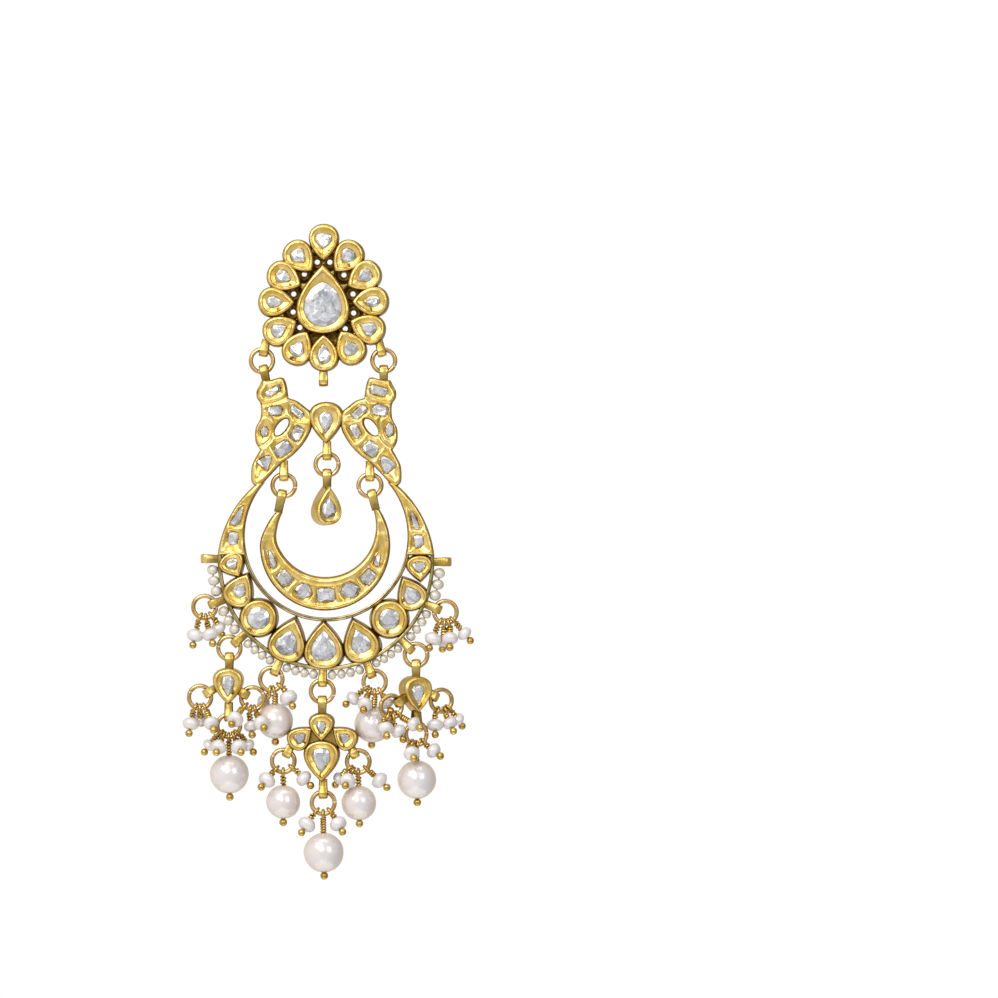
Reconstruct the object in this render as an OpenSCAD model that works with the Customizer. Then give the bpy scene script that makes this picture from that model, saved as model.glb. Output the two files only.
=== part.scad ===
// Crescent dangle earring: a flower stud with a post, a yoke and crescent that hang from it on two
// rings, a small crescent and a drop inside them, and pendants with pearl clusters round the rim.
// The front faces -Y and +Z is up. The origin is where the post leaves the back of the stud.

/* [Stud] */
// Depth of the stud, front to back
stud_d = 3.2; // [3.0:0.1:3.6]
// Length of a petal setting, tip to round end
petal_l = 5.7; // [5.5:0.1:5.8]
// Width of a petal setting
petal_w = 4.6; // [4.4:0.1:4.7]
// Thickness of the plate behind the petals
plate_t = 0.9; // [0.6:0.1:1.2]
// Diameter of the small holes drilled between the petals
plate_hole = 0.8; // [0.5:0.1:0.8]
// Diameter of the ear post
post_dia = 0.9; // [0.8:0.1:1.0]
// Length of the ear post, back of the stud to its tip
post_l = 11; // [10:0.5:12]

/* [Hanging metal] */
// Depth of the hanging settings, front to back
setting_d = 2.6; // [2.4:0.1:2.8]
// Depth of a stone's pocket
pocket_d = 0.6; // [0.5:0.05:0.8]
// Gap between a stone and its pocket
stone_gap = 0.05; // [0.04:0.01:0.06]
// How far the right pendant and the centre drop are turned to the viewer's right
pendant_turn = 25; // [0:1:28]

/* [Crescents] */
// Radius of the opening that the small crescent hangs in
opening_r = 12.65; // [12.6:0.05:12.7]
// Radius of the outer edge of the big crescent
rim_r = 16.8; // [16.7:0.05:16.9]
// Width of the thin rims that tie the lower settings together
rim_w = 0.6; // [0.4:0.05:0.65]
// Radius of the outer edge of the small crescent
small_r = 10.1; // [10.0:0.05:10.15]
// Radius of the inner edge of the small crescent
small_opening_r = 7.9; // [7.85:0.05:8.0]

/* [Jump rings and bails] */
// Outer diameter of a jump ring
ring_od = 4.2; // [4.1:0.1:4.3]
// Diameter of the jump ring wire
ring_wire = 0.7; // [0.6:0.05:0.7]
// Width of the flat strip that a bail is bent from
bail_w = 1.4; // [1.2:0.1:1.5]
// Thickness of that strip
bail_t = 0.4; // [0.35:0.05:0.4]
// Depth of a bail, front to back
bail_d = 1.9; // [1.9:0.05:2.1]

/* [Pearls] */
// Diameter of a head pin's wire
pin_dia = 0.36; // [0.3:0.02:0.4]
// Diameter of the gold ball at the end of a head pin
ball_dia = 1.25; // [1.0:0.05:1.3]
// Length of the wrapped wire over a small pearl
wrap_l = 0.6; // [0.4:0.1:0.7]
// Share of their spacing that the seed pearls of the rim fill
seed_fill = 0.95; // [0.85:0.01:0.97]

/* [Hidden] */
$fn = 48;

bright_gold = "goldenrod";
old_gold = "darkkhaki";
pale_gold = "palegoldenrod";
ring_gold = "peru";
stone_grey = "lightsteelblue";
pearl_white = "seashell";
pearl_cream = "antiquewhite";

hang_y = -stud_d / 2;
setting_front = hang_y - setting_d / 2;
setting_back = hang_y + setting_d / 2;
small_d = 2.4;
ring_r = (ring_od - ring_wire) / 2;
ring_slack = 0.1;
bail_to_ring = ring_r - bail_d / 2 - ring_slack;
pad_r = 2;
pad_t = 0.4;

// Forms of an outline: how pointed its top is, and the power that makes it round or square
oval = [0, 1];
pear = [1, 1];
petal_form = [0.65, 1];
egg = [0.3, 1];
block = [0, 0.45];
wedge = [1.6, 0.5];
outline_sides = 24;

// Columns of the tables of settings: the place of its middle, its width and length, the way its
// tip points in degrees clockwise from up, its form, the stone's width and length, how far the
// stone lies from the middle toward the round end, and the stone's form where it has its own
at_x = 0;
at_z = 1;
wide = 2;
long = 3;
turn = 4;
form = 5;
stone_w = 6;
stone_l = 7;
stone_low = 8;
own_form = 9;

stud_centre = [[0, 0.2, 8.3, 10.8, 0, pear, 5.5, 6.5, 0.9, egg]];
// Petals, clockwise from the top: x, z, the way out from the middle, stone width and length
petals = [
  [0.1, 9.15, 0, 2.4, 2.3], [3.8, 6.75, 40, 2.2, 2.3], [6.4, 3.7, 59, 2, 2.3],
  [7.5, -0.2, 88, 1.65, 2.4], [7, -4.4, 113, 2, 2.4], [4.2, -7.4, 150, 2.1, 2.3],
  [0.1, -8.35, 180, 2, 2.9], [-3.9, -7.5, 209, 2.1, 2.4], [-6.75, -4.65, 243, 2, 2.4],
  [-7.4, -0.3, 272, 1.7, 2.4], [-6.1, 3.6, 297, 2, 2.3], [-3.7, 6.75, 318, 2.2, 2.3]
];
// How far a petal's middle lies inside the middle of its stone
petal_in = 0.2;
stud_petals = [for (p = petals) [
  p[0] - petal_in * sin(p[2]), p[1] - petal_in * cos(p[2]), petal_w, petal_l, p[2] + 180,
  petal_form, p[3], p[4], petal_in, pear
]];
stud_plate_r = 8;
plate_holes = [
  [-0.95, 5.95], [1, 5.95], [-2.95, 4.1], [3.2, 3.95], [-4.6, 1], [4.6, 1],
  [-4.7, -1.8], [4.7, -1.95], [-3.65, -4.2], [3.4, -4.4]
];

// Half of the yoke as it lies on the left: an upper leaf, a curl and the tail over the crescent
yoke_half = [
  [-9.45, -12.4], [-8.2, -12.4], [-6.65, -12], [-6.05, -12.25], [-5.65, -13.35], [-5.4, -15.2],
  [-4.05, -15.65], [-2.8, -16.6], [-2, -17.3], [-1.7, -18.6], [-1.85, -20], [-2.35, -21.1],
  [-3.1, -22.3], [-4.05, -23.4], [-5.1, -24.35], [-6.2, -25.1], [-7.45, -26.35], [-9.45, -28.5],
  [-10.2, -29], [-11, -28.35], [-11.15, -27.1], [-11, -25.6], [-10.4, -24.35], [-9.75, -23.2],
  [-10.4, -22.15], [-10.55, -20.9], [-10.4, -19.7], [-9.75, -18.45], [-9.6, -17.05],
  [-9.75, -15.95], [-10.25, -15.2], [-10.3, -14.1], [-9.9, -13.35]
];
yoke_axis = 0.5;
yoke_eye = [-6.45, -19.7, 1.45, 3.1, 38];
yoke_pear = [0.45, -19.05, 5.2, 6.4, 180, pear, 1.95, 3.05, 0.1];
// Stones of the curls: the left half, then the right half, each from the top down
yoke_cells = [
  yoke_pear,
  [-7.75, -14.1, 0, 0, 58, block, 0.95, 2.3, 0], [-7.45, -17.15, 0, 0, 85, block, 1.4, 2, 0],
  [-4.05, -17.35, 0, 0, 130, block, 1.05, 2.2, 0], [-4.05, -20.7, 0, 0, 30, block, 1.5, 2, 0],
  [-6.2, -23.1, 0, 0, 55, block, 1.9, 2.4, 0], [-8.85, -25, 0, 0, 42, wedge, 2, 2, 0],
  [-9.1, -20.4, 0, 0, 5, oval, 1, 1.5, 0],
  [8.6, -14.05, 0, 0, 105, block, 1.3, 2.5, 0], [8.85, -17.1, 0, 0, 105, block, 1.6, 2.2, 0],
  [5.65, -17.35, 0, 0, 50, block, 1.2, 2.3, 0], [5.05, -20.35, 0, 0, 155, block, 1.2, 2, 0],
  [7.45, -23.1, 0, 0, 130, block, 1.9, 2.2, 0], [9.85, -25.3, 0, 0, 325, wedge, 2.2, 2.5, 0],
  [10.3, -20.1, 0, 0, 0, oval, 1.15, 2, 0]
];

// The big crescent: its opening, its lower rim and the rounder edge of its arms
opening_c = [0.45, -36.6];
rim_c = [0.45, -40.6];
arm_c = [0.45, -41.5];
arm_r = 16.9;
arm_top = -28.2;
arm_end = -39.6;
arm_stones = [
  [-13.1, -33.4, 0, 0, 25, wedge, 1.2, 3.2, 0], [-13.95, -36.9, 0, 0, 5, block, 1.4, 1.8, 0],
  [14.15, -34.1, 0, 0, 345, wedge, 0.9, 2.8, 0], [14.8, -37.4, 0, 0, 355, block, 1.3, 1.8, 0]
];
crescent_cells = [
  [-13.95, -41.15, 4, 4, 150, pear, 1.8, 1.65, 0.2],
  [-12.9, -44.9, 4.6, 5.6, 27, pear, 2, 2.1, 0],
  [-10, -49.3, 5.75, 5.75, 0, oval, 3.25, 3.25, 0],
  [-5.35, -52.65, 5.7, 7, 18, pear, 3.25, 3.7, 0.45],
  [0.1, -53.5, 6.1, 7.4, 0, pear, 3.65, 4.5, 0.1],
  [5.7, -52.75, 5.6, 7, 341, pear, 2.8, 3.65, 0.15],
  [10.3, -49.45, 5.8, 5.8, 0, oval, 3, 3, 0],
  [13.55, -45.4, 4.6, 5.4, 333, pear, 2.4, 2.8, 0.3],
  [14.95, -41.6, 4, 4, 175, pear, 2, 1.55, 0.2]
];
// Angles round the rim from straight down: its bails, and the end bails of the seed pearl strings
rim_bails = [-69.6, -48.3, -25, -1.7, 22, 44, 67.1];
string_ends = [-91.5, 90];
seeds_between = [3, 3, 4, 4, 4, 4, 4, 3];
seed_wire = 0.3;
rim_bail_l = 2.6;
rim_ring_at = 20.1;

// The small crescent inside the opening
small_c = [0.3, -38.05];
small_opening_c = [0.3, -35.05];
horn_top = -32.4;
small_cells = [
  [-7.95, -40.1, 0, 0, 345, wedge, 1, 2.6, 0], [-5.95, -43.1, 0, 0, 320, block, 2, 2.1, 0],
  [-3, -45.1, 0, 0, 335, block, 2.1, 2, 0], [0.45, -45.75, 0, 0, 0, block, 2.6, 2, 0],
  [4.2, -44.95, 0, 0, 25, block, 2.4, 2, 0], [7, -42.95, 0, 0, 42, block, 1.8, 2.1, 0],
  [8.45, -40.2, 0, 0, 14, wedge, 0.9, 2, 0]
];
// Degrees from straight up that the bails on its horns lean, and how the left horn bends in from a
// point on its outer edge
horn_lean = [12, -14];
horn_bend = 9;
horn_pivot = [-9.75, -38.05];
bend_overlap = 0.4;

// Middles of the rings, x and z. The right pendant's are given before it is turned.
stud_rings = [[-9.5, -9.4], [9.4, -9.4]];
// Degrees from straight up that the bails over and under those two rings lean
over_lean = [12, -14];
under_lean = [-12, 0];
spare_bail = [0.05, -14.05];
inner_rings = [[-6.1, -28.75], [7.25, -28.75]];
centre_ring = [0.6, -25.5];
rim_rings = [for (a = rim_bails) rim_c + rim_ring_at * [sin(a), -cos(a)]];
left_drop_rings = [[-19.1, -61.6], [-10.95, -61.8], [-14.65, -66.05]];
right_drop_rings = [[10.2, -63], [18.7, -62.2], [14.45, -67.3]];
trefoil_rings = [[-6.2, -71.5], [5.45, -71.6], [0, -78]];
side_bail_turn = 120;
trefoil_bail_turn = 153;

left_drop = [[-14.75, -59.9, 4.7, 5.6, 180, pear, 1.85, 3, 0.1]];
right_drop = [[14.4, -61.2, 4.7, 5.7, 180, pear, 1.95, 3, 0.1]];
centre_drop_cell = [[0.55, -31.85, 4.2, 6.1, 0, pear, 2.4, 3, 0.3]];
trefoil_cells = [
  [-0.25, -66.25, 3.9, 4.3, 180, pear, 1.3, 1.85, 0],
  [-3.45, -67.75, 3.5, 4.4, 50, pear, 1.5, 1.8, 0.1],
  [3.2, -67.75, 3.5, 4.4, 310, pear, 1.4, 1.5, 0.1],
  [-0.25, -71.5, 5.5, 6.4, 180, pear, 2.55, 3.7, 0.2]
];
trefoil_web = [-0.25, -68.3];
trefoil_web_r = 2.5;
trefoil_web_t = 1.2;

// Small pearls: the loop's place on its ring in degrees from straight down, then the pearl's
// x, z and y from the middle of that ring, and its diameter
cluster_left_3 = [
  [-24, -1.45, -4.4, -0.5, 2.25], [8, 0.9, -4.25, -0.7, 2.15], [40, 2.1, -3.2, 0.9, 1.9]
];
cluster_right_3 = [
  [-30, -1.95, -4.1, -0.5, 2.25], [-5, -0.4, -4.6, 1.2, 1.7], [18, 0.7, -4.05, -0.9, 2.15],
  [44, 2.95, -3.3, 0.1, 2]
];
cluster_left_1 = [[54, 2.7, -2.85, -1, 2.4], [-8, -1.3, -3.5, 2, 1.7]];
cluster_right_1 = [
  [-54, -3.35, -2.55, 0.2, 2], [-28, -1.45, -3.4, -1.9, 2], [32, 1.9, -3.3, -0.3, 1.8]
];
clusters_left_drop = [
  [[-26, -1.4, -4.1, -0.5, 2.2], [26, 1.8, -3.95, -1.7, 2], [0, 0, -3.4, 1.5, 1.7]],
  [[-46, -2.6, -3.1, -2.5, 2.2], [-12, -0.2, -4.3, -0.7, 1.9], [14, 1.5, -3.7, -2.6, 2.1]],
  [
    [-52, -3, -3, 0.2, 1.8], [-28, -1.5, -3.2, -1.8, 2.1], [28, 1.65, -3.2, -1.8, 2.1],
    [52, 3, -3, 0.2, 1.8]
  ]
];
clusters_right_drop = [
  [[-30, -1.4, -3.3, -1, 2.1], [6, 0.9, -3.8, -0.7, 2.1], [46, 2.8, -2.7, -2.3, 1.9]],
  [[-26, -1.3, -3.8, -0.6, 2.2], [20, 1.1, -3.5, -0.8, 2], [46, 2.9, -3, 0.3, 1.9]],
  [[-34, -1.6, -2.9, -1.8, 2.1], [44, 2.4, -2.6, -1.2, 2.1]]
];
clusters_trefoil = [
  [[-42, -2.5, -2.9, -0.9, 2.3], [54, 3.2, -2.7, -0.3, 2.2]],
  [[-54, -2.9, -2.7, 0.9, 1.9], [-30, -1.6, -2.9, -1.7, 2.1], [50, 3.3, -2.9, -0.3, 2.3]],
  [[-40, -2.5, -3.3, -0.9, 2.4], [40, 2.35, -3.2, -0.9, 2.3]]
];
// Big pearls: how far the middle lies to the right of its ring's, below it and behind it, the
// diameter, and the loop's place on its ring
big_left_1 = [0.57, 6.5, 0.8, 5.6, 14];
big_right_1 = [-0.3, 6.6, 1.2, 5.75, 0];
big_left_drop = [0.1, 7.5, 0, 6.05, 0];
big_right_drop = [0.1, 7.1, 0, 6.05, 0];
big_trefoil = [[0, 6.35, 0, 5.3, 0], [0.1, 6.4, 0, 5.4, 0], [0.1, 7.7, 0, 6.2, 0]];
big_wrap_l = 0.9;
loop_r = 0.62;
wrap_r = 0.38;
bore_gap = 0.05;

function sign_power(v, p) = sign(v) * pow(abs(v), p);

// Closed outline of a given width and length about the origin, with its tip up
function outline(w, l, f) =
  let (
    raw = [
      for (i = [0:outline_sides - 1])
        let (a = 360 * i / outline_sides)
          [sign_power(sin(a), f[1]) * pow(sin(a / 2), f[0]), sign_power(cos(a), f[1])]
    ],
    widest = max([for (p = raw) p[0]])
  ) [for (p = raw) [p[0] * w / 2 / widest, p[1] * l / 2]];

// Extrudes a drawing of the front view toward the viewer, from one depth to another
module slab(back, front) {
  translate([0, back, 0])
    rotate([90, 0, 0])
      linear_extrude(back - front)
        children();
}

module setting_outline(c) {
  translate([c[at_x], c[at_z]])
    rotate(-c[turn])
      polygon(outline(c[wide], c[long], c[form]));
}

function stone_form(c) = len(c) > own_form ? c[own_form] : c[form];

module stone_outline(c, extra, f) {
  translate([c[at_x], c[at_z]])
    rotate(-c[turn])
      translate([0, -c[stone_low]])
        polygon(outline(c[stone_w] + 2 * extra, c[stone_l] + 2 * extra, f));
}

module settings(cells, back, front) {
  for (c = cells)
    slab(back, front) setting_outline(c);
}

module pockets(cells, front) {
  for (c = cells)
    slab(front + pocket_d, front - 1) stone_outline(c, stone_gap, stone_form(c));
}

module stones(cells, front) {
  color(stone_grey)
    for (c = cells)
      slab(front + pocket_d - stone_gap, front + stone_gap) stone_outline(c, 0, stone_form(c));
}

// The section of a bail: a strip bent round, with its outer end at the origin
module bail_section(inset, reach) {
  end_r = bail_d / 2 - inset;
  translate([0, -bail_d / 2])
    circle(end_r);
  translate([-end_r, -reach])
    square([2 * end_r, reach - bail_d / 2]);
}

// A bail that points the given way at the middle of its ring
module bail(ring, way, reach) {
  color(pale_gold)
    translate([ring[0], hang_y, ring[1]])
      rotate([0, way, 0])
        translate([0, 0, -bail_to_ring])
          rotate([90, 0, 90])
            linear_extrude(bail_w, center = true)
              difference() {
                bail_section(0, reach);
                bail_section(bail_t, reach - bail_t);
              }
}

module jump_ring(ring) {
  color(ring_gold)
    translate([ring[0], hang_y, ring[1]])
      rotate([90, 0, 0])
        rotate_extrude()
          translate([ring_r, 0])
            circle(ring_wire / 2);
}

// Turns what belongs to the right pendant or the centre drop about its own upright axis
module turned(x) {
  translate([x, hang_y, 0])
    rotate([0, 0, pendant_turn])
      translate([-x, -hang_y, 0])
        children();
}

// Stands what is drawn along +Z on one point so that it points at another
module along(from, to) {
  d = to - from;
  translate(from)
    rotate([0, acos(d[2] / norm(d)), atan2(d[1], d[0])])
      children();
}

module rod(from, to, r) {
  along(from, to)
    cylinder(h = norm(to - from), r = r);
}

function pearl_at(ring, p) = [ring[0] + p[1], hang_y + p[3], ring[1] + p[2]];
function neck_at(ring, angle) =
  [ring[0] + (ring_r + loop_r) * sin(angle), hang_y, ring[1] - (ring_r + loop_r) * cos(angle)];

// The section of a head pin on its own axis: wrapped neck, wire and the ball at its end
module pin_section(length, wrap) {
  intersection() {
    union() {
      square([wrap_r, wrap]);
      square([pin_dia / 2, length]);
      translate([0, length])
        circle(ball_dia / 2);
    }
    translate([0, -wrap])
      square([length, length + 2 * wrap]);
  }
}

// A head pin: its loop round the ring's wire, and the pin that runs from there through the pearl
module head_pin(ring, angle, pearl, dia, wrap) {
  neck = neck_at(ring, angle);
  color(bright_gold) {
    translate([ring[0] + ring_r * sin(angle), hang_y, ring[1] - ring_r * cos(angle)])
      rotate([0, 90 - angle, 0])
        rotate([0, 0, 180])
          rotate_extrude()
            translate([loop_r, 0])
              rotate(180)
                circle(pin_dia / 2);
    along(neck, pearl)
      rotate_extrude()
        pin_section(norm(pearl - neck) + dia / 2 + ball_dia / 2, wrap);
  }
}

// A pearl drilled along the line of its pin
module pearl(ring, angle, at, dia) {
  neck = neck_at(ring, angle);
  along(neck, at)
    translate([0, 0, norm(at - neck)])
      rotate_extrude()
        intersection() {
          circle(dia / 2);
          translate([pin_dia / 2 + bore_gap, -dia])
            square([dia, 2 * dia]);
        }
}

module cluster_pins(ring, cluster) {
  for (p = cluster)
    head_pin(ring, p[0], pearl_at(ring, p), p[4], wrap_l);
}

module cluster_pearls(ring, cluster) {
  color(pearl_white)
    for (p = cluster)
      pearl(ring, p[0], pearl_at(ring, p), p[4]);
}

function big_at(ring, big) = [ring[0] + big[0], hang_y + big[2], ring[1] - big[1]];

module big_pin(ring, big) {
  head_pin(ring, big[4], big_at(ring, big), big[3], big_wrap_l);
}

module big_pearl(ring, big) {
  color(pearl_cream)
    pearl(ring, big[4], big_at(ring, big), big[3]);
}

module stud_frame() {
  color(old_gold)
    difference() {
      union() {
        slab(0, -plate_t) circle(stud_plate_r);
        settings(stud_petals, 0, -stud_d);
        settings(stud_centre, 0, -stud_d - 0.3);
        for (i = [0:1])
          bail(stud_rings[i], 180 + over_lean[i], 3.6);
        bail(spare_bail, 180, 3.4);
      }
      pockets(stud_petals, -stud_d);
      pockets(stud_centre, -stud_d - 0.3);
      slab(1, -stud_d) {
        for (h = plate_holes)
          translate(h)
            circle(plate_hole / 2);
      }
    }
}

module ear_post() {
  color(bright_gold)
    rotate([-90, 0, 0]) {
      cylinder(h = post_l, r = post_dia / 2);
      cylinder(h = pad_t, r = pad_r);
    }
}

module yoke_side() {
  slab(setting_back, setting_front)
    difference() {
      polygon(yoke_half);
      translate([yoke_eye[0], yoke_eye[1]])
        rotate(-yoke_eye[4])
          polygon(outline(yoke_eye[2], yoke_eye[3], oval));
    }
}

// The big crescent's arms, down to where the round settings take over
module crescent_arms() {
  slab(setting_back, setting_front)
    intersection() {
      difference() {
        translate(arm_c)
          circle(arm_r);
        translate(opening_c)
          circle(opening_r);
      }
      translate([-arm_r * 2, arm_end])
        square([arm_r * 4, arm_top - arm_end]);
    }
}

module lower_half() {
  intersection() {
    children();
    translate([-arm_r * 2, arm_end - arm_r * 2 + 0.5])
      square([arm_r * 4, arm_r * 2]);
  }
}

module crescent_rims() {
  slab(setting_back - 0.1, setting_front + 0.5)
    lower_half()
      difference() {
        translate(rim_c)
          circle(rim_r);
        translate(rim_c)
          circle(rim_r - rim_w);
      }
  slab(setting_back - 0.2, setting_front + 0.6)
    lower_half()
      difference() {
        translate(opening_c)
          circle(opening_r + rim_w);
        translate(opening_c)
          circle(opening_r);
      }
}

module crescent_frame() {
  color(bright_gold)
    difference() {
      union() {
        yoke_side();
        translate([2 * yoke_axis, 0, 0])
          mirror([1, 0, 0])
            yoke_side();
        settings([yoke_pear], setting_back - 0.1, setting_front - 0.1);
        crescent_arms();
        crescent_rims();
        settings(crescent_cells, setting_back - 0.3, setting_front - 0.1);
        for (i = [0:1])
          bail(stud_rings[i], under_lean[i], 3);
        bail(centre_ring, 180, 3);
        for (r = inner_rings)
          bail(r, 180, 3.2);
        for (a = concat(rim_bails, string_ends))
          bail(rim_c + rim_ring_at * [sin(a), -cos(a)], 180 - a, rim_bail_l + 0.3);
      }
      pockets(concat([yoke_pear], crescent_cells), setting_front - 0.1);
      pockets([for (i = [1:len(yoke_cells) - 1]) yoke_cells[i]], setting_front);
      pockets(arm_stones, setting_front);
    }
}

module yoke_stones() {
  stones([yoke_pear], setting_front - 0.1);
  stones([for (i = [1:len(yoke_cells) - 1]) yoke_cells[i]], setting_front);
}

module crescent_stones() {
  stones(arm_stones, setting_front);
  stones(crescent_cells, setting_front - 0.1);
}

// One string of seed pearls between two bails of the rim, on its wire
module seed_string(from, to, count) {
  step = (to - from) / (count + 1);
  pearl_r = (rim_r + 0.1) * sin(step / 2) * seed_fill;
  at_r = rim_r + 0.1 + pearl_r;
  spots = [for (i = [1:count]) let (a = from + i * step)
    [rim_c[0] + at_r * sin(a), hang_y, rim_c[1] - at_r * cos(a)]];
  for (i = [0:count - 1])
    translate(spots[i])
      rotate([0, 90 - from - (i + 1) * step, 0])
        rotate([90, 0, 0])
          sphere(pearl_r);
  for (i = [1:count - 1])
    rod(spots[i - 1], spots[i], seed_wire / 2);
}

module rim_pearls() {
  stops = concat([string_ends[0]], rim_bails, [string_ends[1]]);
  color(pearl_white)
    for (i = [0:len(seeds_between) - 1])
      seed_string(stops[i], stops[i + 1], seeds_between[i]);
}

// The small crescent without its bend, up to the height where its horns end
module small_plan() {
  intersection() {
    difference() {
      translate(small_c)
        circle(small_r);
      translate(small_opening_c)
        circle(small_opening_r);
    }
    translate([-small_r * 2, horn_top - small_r * 4])
      square([small_r * 4, small_r * 4]);
  }
}

// The part of the front view over the height of the bend, on the left of the middle
module bend_zone() {
  translate([horn_pivot[0] - small_r, horn_pivot[1]])
    square([2 * small_r, small_r]);
}

module inner_crescent() {
  back = hang_y + small_d / 2;
  front = hang_y - small_d / 2;
  color(bright_gold)
    difference() {
      union() {
        slab(back, front)
          difference() {
            small_plan();
            bend_zone();
          }
        slab(back, front)
          translate(horn_pivot)
            rotate(-horn_bend)
              translate(-horn_pivot)
                intersection() {
                  small_plan();
                  translate([0, -bend_overlap])
                    bend_zone();
                }
        for (i = [0:1])
          bail(inner_rings[i], horn_lean[i], 3.6);
      }
      pockets(small_cells, front);
    }
}

module inner_crescent_stones() {
  stones(small_cells, hang_y - small_d / 2);
}

module centre_drop() {
  color(bright_gold)
    difference() {
      union() {
        turned(centre_drop_cell[0][at_x])
          settings(centre_drop_cell, setting_back, setting_front);
        bail(centre_ring, 0, 3.2);
      }
      turned(centre_drop_cell[0][at_x])
        pockets(centre_drop_cell, setting_front);
    }
}

module centre_drop_stone() {
  turned(centre_drop_cell[0][at_x])
    stones(centre_drop_cell, setting_front);
}

// A pendant's body with its side bails and bottom bail, before it is turned
module side_drop_body(cell, rings) {
  difference() {
    union() {
      settings(cell, setting_back, setting_front);
      bail(rings[0], -side_bail_turn, 2.7);
      bail(rings[1], side_bail_turn, 2.7);
      bail(rings[2], 180, 3.2);
    }
    pockets(cell, setting_front);
  }
}

module side_drop_left() {
  color(bright_gold) {
    side_drop_body(left_drop, left_drop_rings);
    bail(rim_rings[1], 0, 3);
  }
}

module side_drop_right() {
  color(bright_gold) {
    turned(right_drop[0][at_x])
      side_drop_body(right_drop, right_drop_rings);
    bail(rim_rings[5], 0, 3);
  }
}

module side_drop_stones() {
  stones(left_drop, setting_front);
  turned(right_drop[0][at_x])
    stones(right_drop, setting_front);
}

module trefoil() {
  color(bright_gold)
    difference() {
      union() {
        settings(trefoil_cells, setting_back, setting_front);
        slab(setting_back, setting_back - trefoil_web_t)
          translate(trefoil_web)
            circle(trefoil_web_r);
        bail(rim_rings[3], 0, 3.4);
        bail(trefoil_rings[0], -trefoil_bail_turn, 2.6);
        bail(trefoil_rings[1], trefoil_bail_turn, 2.6);
        bail(trefoil_rings[2], 180, 3.4);
      }
      pockets(trefoil_cells, setting_front);
    }
}

module right_drop_ring(i) {
  turned(right_drop[0][at_x])
    jump_ring(right_drop_rings[i]);
}

module big_pearl_right_drop() {
  turned(right_drop[0][at_x])
    big_pearl(right_drop_rings[2], big_right_drop);
}

module pearls_left_drop() {
  for (i = [0:2])
    cluster_pearls(left_drop_rings[i], clusters_left_drop[i]);
}

module pearls_right_drop() {
  turned(right_drop[0][at_x])
    for (i = [0:2])
      cluster_pearls(right_drop_rings[i], clusters_right_drop[i]);
}

module pearls_trefoil() {
  for (i = [0:2])
    cluster_pearls(trefoil_rings[i], clusters_trefoil[i]);
}

module pins_left_1() {
  cluster_pins(rim_rings[2], cluster_left_1);
  big_pin(rim_rings[2], big_left_1);
}

module pins_right_1() {
  cluster_pins(rim_rings[4], cluster_right_1);
  big_pin(rim_rings[4], big_right_1);
}

module pins_left_drop() {
  for (i = [0:2])
    cluster_pins(left_drop_rings[i], clusters_left_drop[i]);
  big_pin(left_drop_rings[2], big_left_drop);
}

module pins_right_drop() {
  turned(right_drop[0][at_x]) {
    for (i = [0:2])
      cluster_pins(right_drop_rings[i], clusters_right_drop[i]);
    big_pin(right_drop_rings[2], big_right_drop);
  }
}

module pins_trefoil() {
  for (i = [0:2]) {
    cluster_pins(trefoil_rings[i], clusters_trefoil[i]);
    big_pin(trefoil_rings[i], big_trefoil[i]);
  }
}

stud_frame();
stones(stud_centre, -stud_d - 0.3);  // stud_centre_stone
stones(stud_petals, -stud_d);  // stud_petal_stones
ear_post();
jump_ring(stud_rings[0]);  // stud_ring_left
jump_ring(stud_rings[1]);  // stud_ring_right
crescent_frame();
yoke_stones();
crescent_stones();
rim_pearls();
jump_ring(inner_rings[0]);  // inner_ring_left
jump_ring(inner_rings[1]);  // inner_ring_right
inner_crescent();
inner_crescent_stones();
jump_ring(centre_ring);  // centre_drop_ring
centre_drop();
centre_drop_stone();
jump_ring(rim_rings[0]);  // rim_ring_left_3
jump_ring(rim_rings[1]);  // rim_ring_left_2
jump_ring(rim_rings[2]);  // rim_ring_left_1
jump_ring(rim_rings[3]);  // rim_ring_centre
jump_ring(rim_rings[4]);  // rim_ring_right_1
jump_ring(rim_rings[5]);  // rim_ring_right_2
jump_ring(rim_rings[6]);  // rim_ring_right_3
side_drop_left();
side_drop_right();
side_drop_stones();
trefoil();
stones(trefoil_cells, setting_front);  // trefoil_stones
jump_ring(left_drop_rings[0]);  // left_drop_ring_a
jump_ring(left_drop_rings[1]);  // left_drop_ring_b
jump_ring(left_drop_rings[2]);  // left_drop_ring_c
right_drop_ring(0);  // right_drop_ring_a
right_drop_ring(1);  // right_drop_ring_b
right_drop_ring(2);  // right_drop_ring_c
jump_ring(trefoil_rings[0]);  // trefoil_ring_a
jump_ring(trefoil_rings[1]);  // trefoil_ring_b
jump_ring(trefoil_rings[2]);  // trefoil_ring_c
big_pearl(rim_rings[2], big_left_1);  // big_pearl_left_1
big_pearl(rim_rings[4], big_right_1);  // big_pearl_right_1
big_pearl(left_drop_rings[2], big_left_drop);  // big_pearl_left_drop
big_pearl_right_drop();
big_pearl(trefoil_rings[0], big_trefoil[0]);  // big_pearl_trefoil_a
big_pearl(trefoil_rings[1], big_trefoil[1]);  // big_pearl_trefoil_b
big_pearl(trefoil_rings[2], big_trefoil[2]);  // big_pearl_trefoil_c
cluster_pearls(rim_rings[0], cluster_left_3);  // pearls_left_3
cluster_pearls(rim_rings[6], cluster_right_3);  // pearls_right_3
cluster_pearls(rim_rings[2], cluster_left_1);  // pearls_left_1
cluster_pearls(rim_rings[4], cluster_right_1);  // pearls_right_1
pearls_left_drop();
pearls_right_drop();
pearls_trefoil();
cluster_pins(rim_rings[0], cluster_left_3);  // pins_left_3
cluster_pins(rim_rings[6], cluster_right_3);  // pins_right_3
pins_left_1();
pins_right_1();
pins_left_drop();
pins_right_drop();
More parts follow.
